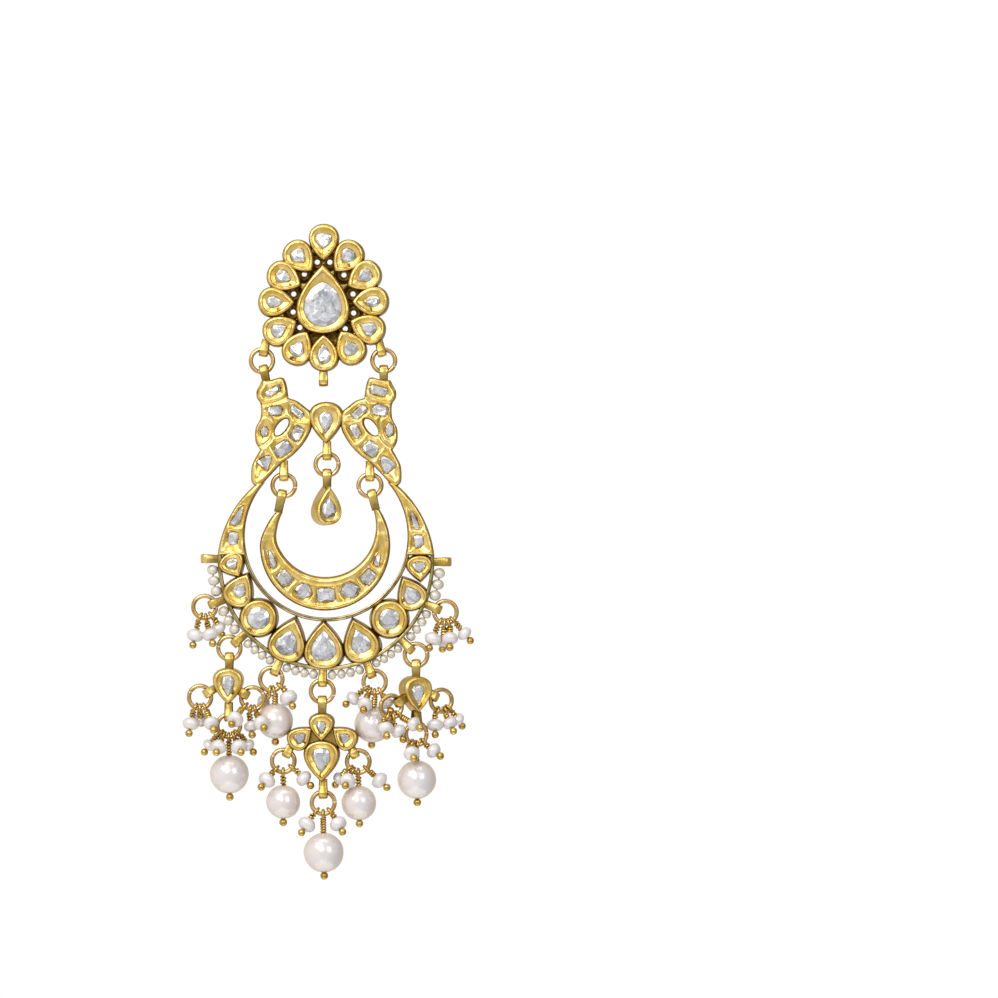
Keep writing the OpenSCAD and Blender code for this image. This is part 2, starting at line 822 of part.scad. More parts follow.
pins_trefoil();
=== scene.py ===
import math
import random

import bmesh
import bpy
import numpy as np
from mathutils import Matrix, Vector, noise


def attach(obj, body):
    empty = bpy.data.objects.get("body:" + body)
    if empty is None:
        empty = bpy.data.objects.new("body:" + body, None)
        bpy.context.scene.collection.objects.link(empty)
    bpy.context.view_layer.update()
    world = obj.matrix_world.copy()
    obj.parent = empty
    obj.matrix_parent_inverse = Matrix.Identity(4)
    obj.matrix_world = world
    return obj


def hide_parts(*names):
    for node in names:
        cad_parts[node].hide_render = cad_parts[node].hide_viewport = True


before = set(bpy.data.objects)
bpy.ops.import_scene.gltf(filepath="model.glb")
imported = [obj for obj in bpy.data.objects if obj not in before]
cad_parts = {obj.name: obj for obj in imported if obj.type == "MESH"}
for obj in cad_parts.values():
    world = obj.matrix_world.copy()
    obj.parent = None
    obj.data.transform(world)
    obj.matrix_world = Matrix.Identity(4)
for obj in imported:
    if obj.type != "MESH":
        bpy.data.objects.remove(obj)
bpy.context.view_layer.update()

MM = 0.001
TAU = 2 * math.pi

# sizes, as in the model's source

# Depths from front to back of the stud, its plate, the hanging settings and the inner crescent, and
# of a stone's pocket below the crest round it
STUD_D = 3.2
PLATE_T = 0.9
SETTING_D = 2.6
SMALL_D = 2.4
POCKET = 0.6
# The plane in which everything hangs, and the front and back of the settings there
HANG_Y = -STUD_D / 2
FRONT = HANG_Y - SETTING_D / 2
BACK = HANG_Y + SETTING_D / 2
# How far the right side drop is turned on its ring
TURN = math.radians(25)
RING_R = 1.75
RING_WIRE = 0.7
# A bail: how near its bend comes to the middle of its ring, its width, the thickness of its strip
# and the outer width of its bend
BAIL_TO_RING = 0.7
BAIL_W = 1.4
BAIL_T = 0.4
BAIL_D = 1.9
# A pin: its wire, the ball at its end and the radius of its loop
PIN_DIA = 0.36
BALL_DIA = 1.25
LOOP_R = 0.62

# Forms of an outline: the power that draws in its tip, and the power that squares it
OVAL = (0, 1)
PEAR = (1, 1)
PETAL = (0.65, 1)
EGG = (0.3, 1)
BLOCK = (0, 0.45)
WEDGE = (1.6, 0.5)

# Settings: middle x and z, width and length, tip in degrees clockwise from up, form, stone width
# and length, how far the stone lies toward the round end
STUD_CENTRE = (0, 0.2, 8.3, 10.8, 0, PEAR, 5.5, 6.5, 0.9)
# Petals of the stud: x and z, the way their round end points, and their stone's width and length
PETALS = [
    (0.1, 9.15, 0, 2.4, 2.3), (3.8, 6.75, 40, 2.2, 2.3), (6.4, 3.7, 59, 2, 2.3),
    (7.5, -0.2, 88, 1.65, 2.4), (7, -4.4, 113, 2, 2.4), (4.2, -7.4, 150, 2.1, 2.3),
    (0.1, -8.35, 180, 2, 2.9), (-3.9, -7.5, 209, 2.1, 2.4), (-6.75, -4.65, 243, 2, 2.4),
    (-7.4, -0.3, 272, 1.7, 2.4), (-6.1, 3.6, 297, 2, 2.3), (-3.7, 6.75, 318, 2.2, 2.3),
]
# A petal's setting lies this far nearer the stud's middle than its row, and its stone on the row
PETAL_IN = 0.2
STUD_PETALS = [
    (
        x - PETAL_IN * math.sin(math.radians(out)), z - PETAL_IN * math.cos(math.radians(out)),
        4.6, 5.7, out + 180, PETAL, w, l, PETAL_IN,
    )
    for x, z, out, w, l in PETALS
]
# The stud's plate and its holes. The box of a carved plate is its least x and z, its greatest x and
# z, and the step of the grid in which the plate is worked out
PLATE_R = 8
PLATE_HOLES = [
    (-0.95, 5.95), (1, 5.95), (-2.95, 4.1), (3.2, 3.95), (-4.6, 1), (4.6, 1),
    (-4.7, -1.8), (4.7, -1.95), (-3.65, -4.2), (3.4, -4.4),
]
PLATE_HOLE = 0.8
PLATE_BOX = (-8.2, -8.2, 8.2, 8.2, 0.12)
# Two hollows beside the centre setting that are not bored through, sunk and darkened with painted
# shade like the holes
PLATE_HOLLOWS = [(-1.2, -5.9), (1.6, -5.9)]
# How far the backs of the stud's settings stand before the back of its plate, and how far the
# centre setting stands before the petals
PETAL_BACK = 0.04
CENTRE_RAISED = 0.3

# Outline of the yoke's left curl, and the axis in which it is mirrored to the right
YOKE_HALF = [
    (-9.45, -12.4), (-8.2, -12.4), (-6.65, -12), (-6.05, -12.25), (-5.65, -13.35), (-5.4, -15.2),
    (-4.05, -15.65), (-2.8, -16.6), (-2, -17.3), (-1.7, -18.6), (-1.85, -20), (-2.35, -21.1),
    (-3.1, -22.3), (-4.05, -23.4), (-5.1, -24.35), (-6.2, -25.1), (-7.45, -26.35), (-9.45, -28.5),
    (-10.2, -29), (-11, -28.35), (-11.15, -27.1), (-11, -25.6), (-10.4, -24.35), (-9.75, -23.2),
    (-10.4, -22.15), (-10.55, -20.9), (-10.4, -19.7), (-9.75, -18.45), (-9.6, -17.05),
    (-9.75, -15.95), (-10.25, -15.2), (-10.3, -14.1), (-9.9, -13.35),
]
YOKE_AXIS = 0.5
YOKE_BOX = (-11.4, -29.3, -1.4, -11.7, 0.11)
# The curl's opening: x, z, width, length and lean
YOKE_EYE = (-6.45, -19.7, 1.45, 3.1, 38)
YOKE_PEAR = (0.45, -19.05, 5.2, 6.4, 180, PEAR, 1.95, 3.05, 0.1)
# Let-in stones: middle x and z, tip in degrees clockwise from up, form, width and length
YOKE_LEFT = [
    (-7.75, -14.1, 58, BLOCK, 0.95, 2.3), (-7.45, -17.15, 85, BLOCK, 1.4, 2),
    (-4.05, -17.35, 130, BLOCK, 1.05, 2.2), (-4.05, -20.7, 30, BLOCK, 1.5, 2),
    (-6.2, -23.1, 55, BLOCK, 1.9, 2.4), (-8.85, -25, 42, WEDGE, 2, 2),
    (-9.1, -20.4, 5, OVAL, 1, 1.5),
]
YOKE_RIGHT = [
    (8.6, -14.05, 105, BLOCK, 1.3, 2.5), (8.85, -17.1, 105, BLOCK, 1.6, 2.2),
    (5.65, -17.35, 50, BLOCK, 1.2, 2.3), (5.05, -20.35, 155, BLOCK, 1.2, 2),
    (7.45, -23.1, 130, BLOCK, 1.9, 2.2), (9.85, -25.3, 325, WEDGE, 2.2, 2.5),
    (10.3, -20.1, 0, OVAL, 1.15, 2),
]
# A let-in stone lies this far below its border, and a pear or round setting stands this far before
# the borders
STONE_SUNK = 0.05
CELL_RAISED = 0.1
# Widths of the borders of the curl and its leaves and of the arms, how far the top leaf stands
# before the curl and the side leaf behind it, and the width of the dark joint round a leaf
CURL_BORDER = 0.6
TOP_BORDER = 0.7
SIDE_BORDER = 0.28
ARM_BORDER = 0.42
TOP_RAISED = 0.02
SIDE_SUNK = 0.08
JOINT_W = 0.16
# The leaf on top of each curl and the leaf beside it, as they lie on the left
TOP_LEAF = [
    (-9.35, -12.5), (-8.7, -12.15), (-6.3, -12), (-5.75, -12.7), (-5.5, -13.9), (-5.75, -15.1),
    (-7.7, -15.9), (-9.75, -16.1), (-10.3, -15.2), (-10.1, -14.1), (-9.55, -13.2),
]
SIDE_LEAF = [
    (-9.0, -17.9), (-7.75, -18.6), (-7.85, -20.5), (-8.3, -21.7), (-9.75, -22.7), (-10.5, -21.6),
    (-10.65, -20.3), (-10.2, -18.9),
]

# The crescent: its opening, its rim, and its arms between ARM_TOP and ARM_END
OPENING_C = (0.45, -36.6)
OPENING_R = 12.65
RIM_C = (0.45, -40.6)
RIM_R = 16.8
RIM_W = 0.6
ARM_C = (0.45, -41.5)
ARM_R = 16.9
ARM_TOP = -28.2
ARM_END = -39.6
ARM_BOXES = [(-17, -39.8, -7.5, -28, 0.11), (8.4, -39.8, 17.9, -28, 0.11)]
# The bands below the arms run up this far behind them
BAND_HIDDEN = 0.5
ARM_STONES = [
    (-13.1, -33.4, 25, WEDGE, 1.2, 3.2), (-13.95, -36.9, 5, BLOCK, 1.4, 1.8),
    (14.15, -34.1, 345, WEDGE, 0.9, 2.8), (14.8, -37.4, 355, BLOCK, 1.3, 1.8),
]
CRESCENT_CELLS = [
    (-13.95, -41.15, 4, 4, 150, PEAR, 1.8, 1.65, 0.2),
    (-12.9, -44.9, 4.6, 5.6, 27, PEAR, 2, 2.1, 0),
    (-10, -49.3, 5.75, 5.75, 0, OVAL, 3.25, 3.25, 0),
    (-5.35, -52.65, 5.7, 7, 18, PEAR, 3.25, 3.7, 0.45),
    (0.1, -53.5, 6.1, 7.4, 0, PEAR, 3.65, 4.5, 0.1),
    (5.7, -52.75, 5.6, 7, 341, PEAR, 2.8, 3.65, 0.15),
    (10.3, -49.45, 5.8, 5.8, 0, OVAL, 3, 3, 0),
    (13.55, -45.4, 4.6, 5.4, 333, PEAR, 2.4, 2.8, 0.3),
    (14.95, -41.6, 4, 4, 175, PEAR, 2, 1.55, 0.2),
]
# Along the rim, in degrees from straight down: its bails and the ends of its seed pearls
RIM_BAILS = [-69.6, -48.3, -25, -1.7, 22, 44, 67.1]
STRING_ENDS = [-91.5, 90]
# Seed pearls between one bail and the next, their wire, how far they fill their places, and the gap
# between them and the rim. Their wire ends this share of a place from a bail
SEEDS_BETWEEN = [3, 3, 4, 4, 4, 4, 4, 3]
SEED_WIRE = 0.3
SEED_FILL = 0.95
SEED_CLEAR = 0.1
SEED_END = 0.55
# The rings of the rim hang this far from its middle
RIM_RING_AT = 20.1

# The inner crescent lies between two circles
SMALL_C = (0.3, -38.05)
SMALL_R = 10.1
SMALL_OPENING_C = (0.3, -35.05)
SMALL_OPENING_R = 7.9
SMALL_BOX = (-10, -48.4, 10.6, -32.2, 0.1)
# The tops of its horns, how far their bails lean, and the left horn's bend in degrees, which grows
# over the height of its foot and begins this share of that height below the pivot
HORN_TOP = -32.4
HORN_LEAN = (12, -14)
HORN_BEND = 9
HORN_PIVOT = (-9.75, -38.05)
HORN_FOOT = 4
HORN_EARLY = 0.3
SMALL_CELLS = [
    (-7.95, -40.1, 345, WEDGE, 1, 2.6), (-5.95, -43.1, 320, BLOCK, 2, 2.1),
    (-3, -45.1, 335, BLOCK, 2.1, 2), (0.45, -45.75, 0, BLOCK, 2.6, 2),
    (4.2, -44.95, 25, BLOCK, 2.4, 2), (7, -42.95, 42, BLOCK, 1.8, 2.1),
    (8.45, -40.2, 14, WEDGE, 0.9, 2),
]

# Middles of the jump rings, and how far some bails lean
STUD_RINGS = [(-9.5, -9.4), (9.4, -9.4)]
OVER_LEAN = (12, -14)
UNDER_LEAN = (-12, 0)
SPARE_BAIL = (0.05, -14.05)
INNER_RINGS = [(-6.1, -28.75), (7.25, -28.75)]
# The bails over the inner crescent are at most this long
INNER_BAIL_L = 3.2
CENTRE_RING = (0.6, -25.5)
LEFT_DROP_RINGS = [(-19.1, -61.6), (-10.95, -61.8), (-14.65, -66.05)]
RIGHT_DROP_RINGS = [(10.2, -63), (18.7, -62.2), (14.45, -67.3)]
TREFOIL_RINGS = [(-6.2, -71.5), (5.45, -71.6), (0, -78)]
# Which way the bails at the sides of a side drop and of the trefoil lead from their rings, in
# degrees from straight down
SIDE_BAIL_TURN = 120
TREFOIL_BAIL_TURN = 153
LEFT_DROP = (-14.75, -59.9, 4.7, 5.6, 180, PEAR, 1.85, 3, 0.1)
RIGHT_DROP = (14.4, -61.2, 4.7, 5.7, 180, PEAR, 1.95, 3, 0.1)
CENTRE_DROP = (0.55, -31.85, 4.2, 6.1, 0, PEAR, 2.4, 3, 0.3)
TREFOIL_CELLS = [
    (-0.25, -66.25, 3.9, 4.3, 180, PEAR, 1.3, 1.85, 0),
    (-3.45, -67.75, 3.5, 4.4, 50, PEAR, 1.5, 1.8, 0.1),
    (3.2, -67.75, 3.5, 4.4, 310, PEAR, 1.4, 1.5, 0.1),
    (-0.25, -71.5, 5.5, 6.4, 180, PEAR, 2.55, 3.7, 0.2),
]
TREFOIL_WEB = (-0.25, -68.3)
TREFOIL_WEB_R = 2.5
TREFOIL_WEB_T = 1.2
WEB_BOX = (-2.9, -70.9, 2.4, -65.7, 0.2)

# Small pearls: the loop's place on its ring in degrees from straight down, then the pearl's x, z
# and y from the middle of that ring, and its diameter
CLUSTER_LEFT_3 = [
    (-24, -1.45, -4.4, -0.5, 2.25), (8, 0.9, -4.25, -0.7, 2.15), (40, 2.1, -3.2, 0.9, 1.9),
]
CLUSTER_RIGHT_3 = [
    (-30, -1.95, -4.1, -0.5, 2.25), (-5, -0.4, -4.6, 1.2, 1.7), (18, 0.7, -4.05, -0.9, 2.15),
    (44, 2.95, -3.3, 0.1, 2),
]
CLUSTER_LEFT_1 = [(54, 2.7, -2.85, -1, 2.4), (-8, -1.3, -3.5, 2, 1.7)]
CLUSTER_RIGHT_1 = [
    (-54, -3.35, -2.55, 0.2, 2), (-28, -1.45, -3.4, -1.9, 2), (32, 1.9, -3.3, -0.3, 1.8),
]
CLUSTERS_LEFT_DROP = [
    [(-26, -1.4, -4.1, -0.5, 2.2), (26, 1.8, -3.95, -1.7, 2), (0, 0, -3.4, 1.5, 1.7)],
    [(-46, -2.6, -3.1, -2.5, 2.2), (-12, -0.2, -4.3, -0.7, 1.9), (14, 1.5, -3.7, -2.6, 2.1)],
    [
        (-52, -3, -3, 0.2, 1.8), (-28, -1.5, -3.2, -1.8, 2.1), (28, 1.65, -3.2, -1.8, 2.1),
        (52, 3, -3, 0.2, 1.8),
    ],
]
CLUSTERS_RIGHT_DROP = [
    [(-30, -1.4, -3.3, -1, 2.1), (6, 0.9, -3.8, -0.7, 2.1), (46, 2.8, -2.7, -2.3, 1.9)],
    [(-26, -1.3, -3.8, -0.6, 2.2), (20, 1.1, -3.5, -0.8, 2), (46, 2.9, -3, 0.3, 1.9)],
    [(-34, -1.6, -2.9, -1.8, 2.1), (44, 2.4, -2.6, -1.2, 2.1)],
]
CLUSTERS_TREFOIL = [
    [(-42, -2.5, -2.9, -0.9, 2.3), (54, 3.2, -2.7, -0.3, 2.2)],
    [(-54, -2.9, -2.7, 0.9, 1.9), (-30, -1.6, -2.9, -1.7, 2.1), (50, 3.3, -2.9, -0.3, 2.3)],
    [(-40, -2.5, -3.3, -0.9, 2.4), (40, 2.35, -3.2, -0.9, 2.3)],
]
# Big pearls: how far the middle lies right of its ring's, below it and behind it, the diameter,
# and the loop's place on its ring
BIG_LEFT_1 = (0.57, 6.5, 0.8, 5.6, 14)
BIG_RIGHT_1 = (-0.3, 6.6, 1.2, 5.75, 0)
BIG_LEFT_DROP = (0.1, 7.5, 0, 6.05, 0)
BIG_RIGHT_DROP = (0.1, 7.1, 0, 6.05, 0)
BIG_TREFOIL = [(0, 6.35, 0, 5.3, 0), (0.1, 6.4, 0, 5.4, 0), (0.1, 7.7, 0, 6.2, 0)]

# A small pearl's height along its pin for each mm of its diameter
PEARL_TALL = 0.93
# The wire of a pin's loop is this much thicker than the pin each way. Below it lie the coils: the
# radius of their wire, and the height of a turn for each mm of that radius
LOOP_MORE = 0.07
COIL_R = 0.19
COIL_PITCH = 2.15
COIL_STEPS = 12
# The coils start this far above the neck and end this far inside the pearl, and their middle lies
# off the pin by this share of their wire's radius
COIL_ABOVE = 0.1
COIL_BELOW = 0.05
COIL_OFF = 0.8
# The ball's middle lies this share of its size below the pearl, and its size varies down to this
BALL_LOW = 0.4
BALL_LEAST = 0.93

# The photograph's frame: its size in pixels, the pixel of the model's origin and mm for a pixel
PHOTO_PX = 998
ORIGIN_PX = (323, 300)
PX = 0.155
# The camera: focal length, width of its sensor, and the y of the plane that is in scale
LENS = 200.0
SENSOR = 36.0
SCALE_Y = -2.5
# The floor lies so low that its edge draws no line across the pearls
FLOOR_Z = -450
FLOOR_R = 300

# Two faces meet in a crisp edge where they turn by more degrees than this
METAL_CRISP = 35
STONE_CRISP = 5
WIRE_CRISP = 50
PEARL_CRISP = 60

# camera and light


def srgb(code):
    """Linear colour from a hex code."""
    values = [int(code[i:i + 2], 16) / 255 for i in (1, 3, 5)]
    return (*[v / 12.92 if v <= 0.04045 else ((v + 0.055) / 1.055) ** 2.4 for v in values], 1.0)


def add(tree, kind, inputs=None, stops=(), **settings):
    """Adds a node with its settings and ramp stops.

    An input is a value, a hex code, a socket or a node.
    """
    node = tree.nodes.new(kind)
    for key, value in settings.items():
        setattr(node, key, value)
    for i, (at, code) in enumerate(stops):
        stop = node.color_ramp.elements[i] if i < 2 else node.color_ramp.elements.new(at)
        stop.position = at
        stop.color = srgb(code)
    for key, value in (inputs or {}).items():
        if isinstance(value, bpy.types.Node):
            value = next(socket for socket in value.outputs if socket.enabled)
        if isinstance(value, bpy.types.NodeSocket):
            tree.links.new(value, node.inputs[key])
        else:
            node.inputs[key].default_value = srgb(value) if isinstance(value, str) else value
    return node


scene = bpy.context.scene
camera = bpy.data.objects.new("camera", bpy.data.cameras.new("camera"))
camera.data.lens = LENS
camera.data.sensor_width = SENSOR
camera.data.clip_start = 0.02
camera.data.clip_end = 20
frame_x = (PHOTO_PX / 2 - ORIGIN_PX[0]) * PX
frame_z = (ORIGIN_PX[1] - PHOTO_PX / 2) * PX
distance = LENS * PHOTO_PX * PX / SENSOR
camera.location = (frame_x * MM, (SCALE_Y - distance) * MM, frame_z * MM)
camera.rotation_euler = (math.pi / 2, 0, 0)
scene.collection.objects.link(camera)
scene.camera = camera
scene.view_settings.view_transform = "Standard"

world = bpy.data.worlds.new("studio")
scene.world = world
world.use_nodes = True
sky = world.node_tree
sky.nodes.clear()
coord = add(sky, "ShaderNodeTexCoord")
split = add(sky, "ShaderNodeSeparateXYZ", {0: coord.outputs["Generated"]})
# The tent is bright all round, dim where the camera looks in and on the right, and a little dim
# above and below
along_x = add(sky, "ShaderNodeMapRange", {0: split.outputs["X"], 1: -1.0})
along_y = add(sky, "ShaderNodeMapRange", {0: split.outputs["Y"], 1: -1.0})
along_z = add(sky, "ShaderNodeMapRange", {0: split.outputs["Z"], 1: -1.0})
dim_front = add(sky, "ShaderNodeValToRGB", {0: along_y}, stops=(
    (0.0, "#CBCBCB"), (1.0, "#FFFFFF"), (0.012, "#D3D3D3"), (0.04, "#F3F3F3"), (0.1, "#FFFFFF"),
))
dim_ends = add(sky, "ShaderNodeValToRGB", {0: along_z}, stops=(
    (0.0, "#EDEDED"), (1.0, "#E7E7E7"), (0.3, "#F8F8F8"), (0.49, "#FFFFFF"), (0.53, "#FFFFFF"),
    (0.66, "#EAEAEA"),
))
dim_right = add(sky, "ShaderNodeValToRGB", {0: along_x}, stops=(
    (0.0, "#FFFFFF"), (1.0, "#B3B3B3"), (0.58, "#FFFFFF"), (0.75, "#E1E1E1"),
))
tent = add(
    sky, "ShaderNodeMix", {0: 1.0, 6: dim_front, 7: dim_ends}, data_type="RGBA",
    blend_type="MULTIPLY",
)
sides = add(
    sky, "ShaderNodeMix", {0: 1.0, 6: tent, 7: dim_right}, data_type="RGBA", blend_type="MULTIPLY",
)
# The gold and pearls see the tent, and the camera sees plain white behind them
room = add(sky, "ShaderNodeBackground", {"Color": sides, "Strength": 0.82})
white = add(sky, "ShaderNodeBackground", {"Color": "#FFFFFF", "Strength": 1.02})
path = add(sky, "ShaderNodeLightPath")
pick = add(sky, "ShaderNodeMixShader", {0: path.outputs["Is Camera Ray"], 1: room, 2: white})
add(sky, "ShaderNodeOutputWorld", {0: pick})


def softbox(name, place, aim, size, power):
    """A rectangular area light, placed and aimed in mm."""
    light = bpy.data.lights.new(name, "AREA")
    light.shape = "RECTANGLE"
    light.size, light.size_y = size[0] * MM, size[1] * MM
    light.energy = power
    lamp = bpy.data.objects.new(name, light)
    lamp.location = Vector(place) * MM
    lamp.rotation_euler = (Vector(aim) - Vector(place)).to_track_quat("-Z", "Y").to_euler()
    scene.collection.objects.link(lamp)


softbox("key", (-260, -420, 330), (0, 0, -40), (420, 340), 1.25)
softbox("front", (-110, -540, 150), (0, 0, -40), (200, 200), 0.55)
softbox("fill", (300, -460, 160), (0, 0, -40), (220, 300), 0.5)
softbox("top", (20, -120, 420), (0, 0, -40), (420, 200), 0.3)
softbox("low", (-40, -300, -420), (0, 0, -50), (300, 160), 0.08)

# materials


def material(name):
    """A new material with an empty tree, and the place of a point in the object."""
    made = bpy.data.materials.new(name)
    made.use_nodes = True
    made.node_tree.nodes.clear()
    return made, made.node_tree, add(made.node_tree, "ShaderNodeTexCoord").outputs["Object"]


def gold(name, bright, deep, wall, soil, rough, worn=0.35):
    """High-carat gold: 'tone' turns it to the dull colour of its walls; a second attribute darkens
    it with painted shade in creases and recesses and with painted dark reflections, and the same
    dark colour marks specks of dirt.
    """
    made, tree, place = material(name)
    tone = add(tree, "ShaderNodeAttribute", attribute_name="tone").outputs["Fac"]
    crease = add(tree, "ShaderNodeAttribute", attribute_name="soil").outputs["Fac"]
    broad = add(tree, "ShaderNodeTexNoise", {
        "Vector": place, "Scale": 1 / (1.6 * MM), "Detail": 3.0, "Roughness": 0.55,
    })
    fine = add(tree, "ShaderNodeTexNoise", {
        "Vector": place, "Scale": 1 / (0.28 * MM), "Detail": 4.0, "Roughness": 0.55,
    })
    rubbed = add(tree, "ShaderNodeMapRange", {0: broad, 1: 0.38, 2: 0.62})
    face = add(tree, "ShaderNodeMix", {0: rubbed, 6: bright, 7: deep}, data_type="RGBA")
    darkening = add(tree, "ShaderNodeMapRange", {0: fine, 1: 0.35, 2: 0.65, 4: 0.4})
    side = add(tree, "ShaderNodeMix", {0: darkening, 6: wall, 7: soil}, data_type="RGBA")
    wander = add(tree, "ShaderNodeMapRange", {0: broad, 1: 0.3, 2: 0.7, 3: -0.12, 4: 0.12})
    edge = add(tree, "ShaderNodeMath", {0: tone, 1: wander}, operation="ADD", use_clamp=True)
    clean = add(tree, "ShaderNodeMix", {0: edge, 6: face, 7: side}, data_type="RGBA")
    grains = add(tree, "ShaderNodeTexNoise", {
        "Vector": place, "Scale": 1 / (0.5 * MM), "Detail": 3.0, "Roughness": 0.6,
    })
    specks = add(tree, "ShaderNodeMapRange", {0: grains, 1: 0.68, 2: 0.76})
    areas = add(tree, "ShaderNodeTexNoise", {
        "Vector": place, "Scale": 1 / (3.5 * MM), "Detail": 1.0, "Roughness": 0.55,
    })
    handled = add(tree, "ShaderNodeMapRange", {0: areas, 1: 0.5, 2: 0.66, 4: worn})
    spots = add(tree, "ShaderNodeMath", {0: specks, 1: handled}, operation="MULTIPLY")
    # Painted shade: the second attribute darkens creases and recesses, broken up by fine noise;
    # specks of dirt in handled areas take the same dark colour
    crease_noise = add(tree, "ShaderNodeMapRange", {0: fine, 1: 0.3, 2: 0.6, 3: 0.55, 4: 1.0})
    creases = add(tree, "ShaderNodeMath", {0: crease, 1: crease_noise}, operation="MULTIPLY")
    dark = add(tree, "ShaderNodeMath", {0: spots, 1: creases}, operation="MAXIMUM")
    colour = add(tree, "ShaderNodeMix", {0: dark, 6: clean, 7: soil}, data_type="RGBA")
    grain = add(tree, "ShaderNodeMapRange", {
        0: fine, 1: 0.3, 2: 0.7, 3: rough - 0.03, 4: rough + 0.04,
    })
    dull = add(tree, "ShaderNodeMath", {0: edge, 1: 0.22, 2: grain}, operation="MULTIPLY_ADD")
    blows = add(tree, "ShaderNodeTexNoise", {
        "Vector": place, "Scale": 1 / (1.3 * MM), "Detail": 1.0, "Roughness": 0.55,
    })
    dents = add(tree, "ShaderNodeBump", {
        "Height": blows, "Strength": 0.1, "Distance": 0.05 * MM,
    })
    scratches = add(tree, "ShaderNodeBump", {
        "Height": fine, "Strength": 0.025, "Distance": 0.02 * MM, "Normal": dents,
    })
    shader = add(tree, "ShaderNodeBsdfPrincipled", {
        "Base Color": colour, "Metallic": 1.0, "Roughness": dull, "Normal": scratches,
    })
    add(tree, "ShaderNodeOutputMaterial", {"Surface": shader})
    return made


# Sheet of high-carat gold pushed and burnished round the stones by hand: soft broad gloss, wavy
# highlights, and a reddish brown for the painted shade in its lines and for specks of dirt
burnished_gold = gold("burnished_gold", "#FBDD8E", "#EFC764", "#AC8638", "#42300F", 0.24)
# Strip of the same gold, bent, filed and soldered: a little greyer, from solder and file marks
filed_gold = gold(
    "filed_strip_gold", "#EFD07C", "#D0AC52", "#9C7F38", "#4A3818", 0.26, worn=0.4,
)
# The inner band of the crescent, rubbed pale on its edges and dull between
rubbed_gold = gold(
    "rubbed_band_gold", "#E9DBAC", "#C9B681", "#8F7C4A", "#3E341F", 0.3, worn=0.5,
)
# The outer band: a darker copy of the gold, painted with the shade of the settings
shaded_gold = gold(
    "shaded_band_gold", "#C2AE74", "#94824C", "#5E5130", "#2C2412", 0.34, worn=0.6,
)
# Drawn wire of a lower carat, cut and closed: even, redder, with a long highlight round each ring
drawn_gold = gold(
    "drawn_wire_gold", "#D6B881", "#C29D5C", "#AA8E55", "#5A3C1C", 0.25, worn=0.5,
)
# Thin wire wound by hand and melted to a ball at its end: brighter gold, dark between the turns,
# where the wire inside the coils carries painted shade
wound_gold = gold(
    "wound_wire_gold", "#DDBD6E", "#BF9A48", "#8A6C2A", "#3A2810", 0.22, worn=0.3,
)


def flat_diamond():
    """Diamond slices split and polished flat over silver foil: grey planes, haze and flecks."""
    made, tree, place = material("flat_cut_diamond")
    tone = add(tree, "ShaderNodeAttribute", attribute_name="tone").outputs["Fac"]
    planes = add(tree, "ShaderNodeTexVoronoi", {"Vector": place, "Scale": 1 / (1.3 * MM)})
    light = add(tree, "ShaderNodeSeparateColor", {0: planes.outputs["Color"]})
    # Each plane's painted tone, shaded or lit, shifts the grey of the foil
    leaned = add(tree, "ShaderNodeMath", {0: tone, 1: 0.55}, operation="MULTIPLY")
    level = add(
        tree, "ShaderNodeMath", {0: light.outputs[0], 1: 0.45, 2: leaned}, operation="MULTIPLY_ADD",
    )
    foil = add(tree, "ShaderNodeValToRGB", {0: level}, stops=(
        (0.0, "#66676C"), (1.0, "#F6F6F8"), (0.25, "#A4A5AB"), (0.55, "#D2D3D8"),
    ))
    haze = add(tree, "ShaderNodeTexNoise", {
        "Vector": place, "Scale": 1 / (0.5 * MM), "Detail": 5.0, "Roughness": 0.65,
    })
    milky = add(tree, "ShaderNodeMapRange", {0: haze, 1: 0.54, 2: 0.76})
    clouded = add(tree, "ShaderNodeMix", {0: milky, 6: foil, 7: "#F7F7F5"}, data_type="RGBA")
    carbon = add(tree, "ShaderNodeTexNoise", {
        "Vector": place, "Scale": 1 / (0.35 * MM), "Detail": 6.0, "Roughness": 0.75,
    })
    flecks = add(tree, "ShaderNodeMapRange", {0: carbon, 1: 0.62, 2: 0.7, 4: 0.75})
    flecked = add(tree, "ShaderNodeMix", {0: flecks, 6: clouded, 7: "#3A3835"}, data_type="RGBA")
    off = add(tree, "ShaderNodeMath", {0: haze, 1: 1.2 * MM}, operation="MULTIPLY")
    aside = add(tree, "ShaderNodeCombineXYZ", {0: off})
    bent = add(tree, "ShaderNodeVectorMath", {0: place, 1: aside}, operation="ADD")
    rifts = add(
        tree, "ShaderNodeTexVoronoi", {"Vector": bent, "Scale": 1 / (2.1 * MM)},
        feature="DISTANCE_TO_EDGE",
    )
    split_lines = add(tree, "ShaderNodeMapRange", {
        0: rifts.outputs["Distance"], 2: 0.035, 3: 0.5, 4: 0.0,
    })
    body = add(tree, "ShaderNodeMix", {0: split_lines, 6: flecked, 7: "#55534F"}, data_type="RGBA")
    polish = add(tree, "ShaderNodeMapRange", {0: haze, 1: 0.35, 2: 0.7, 3: 0.08, 4: 0.3})
    steps = add(tree, "ShaderNodeBump", {
        "Height": planes.outputs["Distance"], "Strength": 0.35, "Distance": 0.12 * MM,
    })
    shader = add(tree, "ShaderNodeBsdfPrincipled", {
        "Base Color": body, "Metallic": 0.5, "Roughness": polish, "Normal": steps,
        "Coat Weight": 1.0, "Coat Roughness": 0.03, "Coat IOR": 2.0,
    })
    add(tree, "ShaderNodeOutputMaterial", {"Surface": shader})
    return made


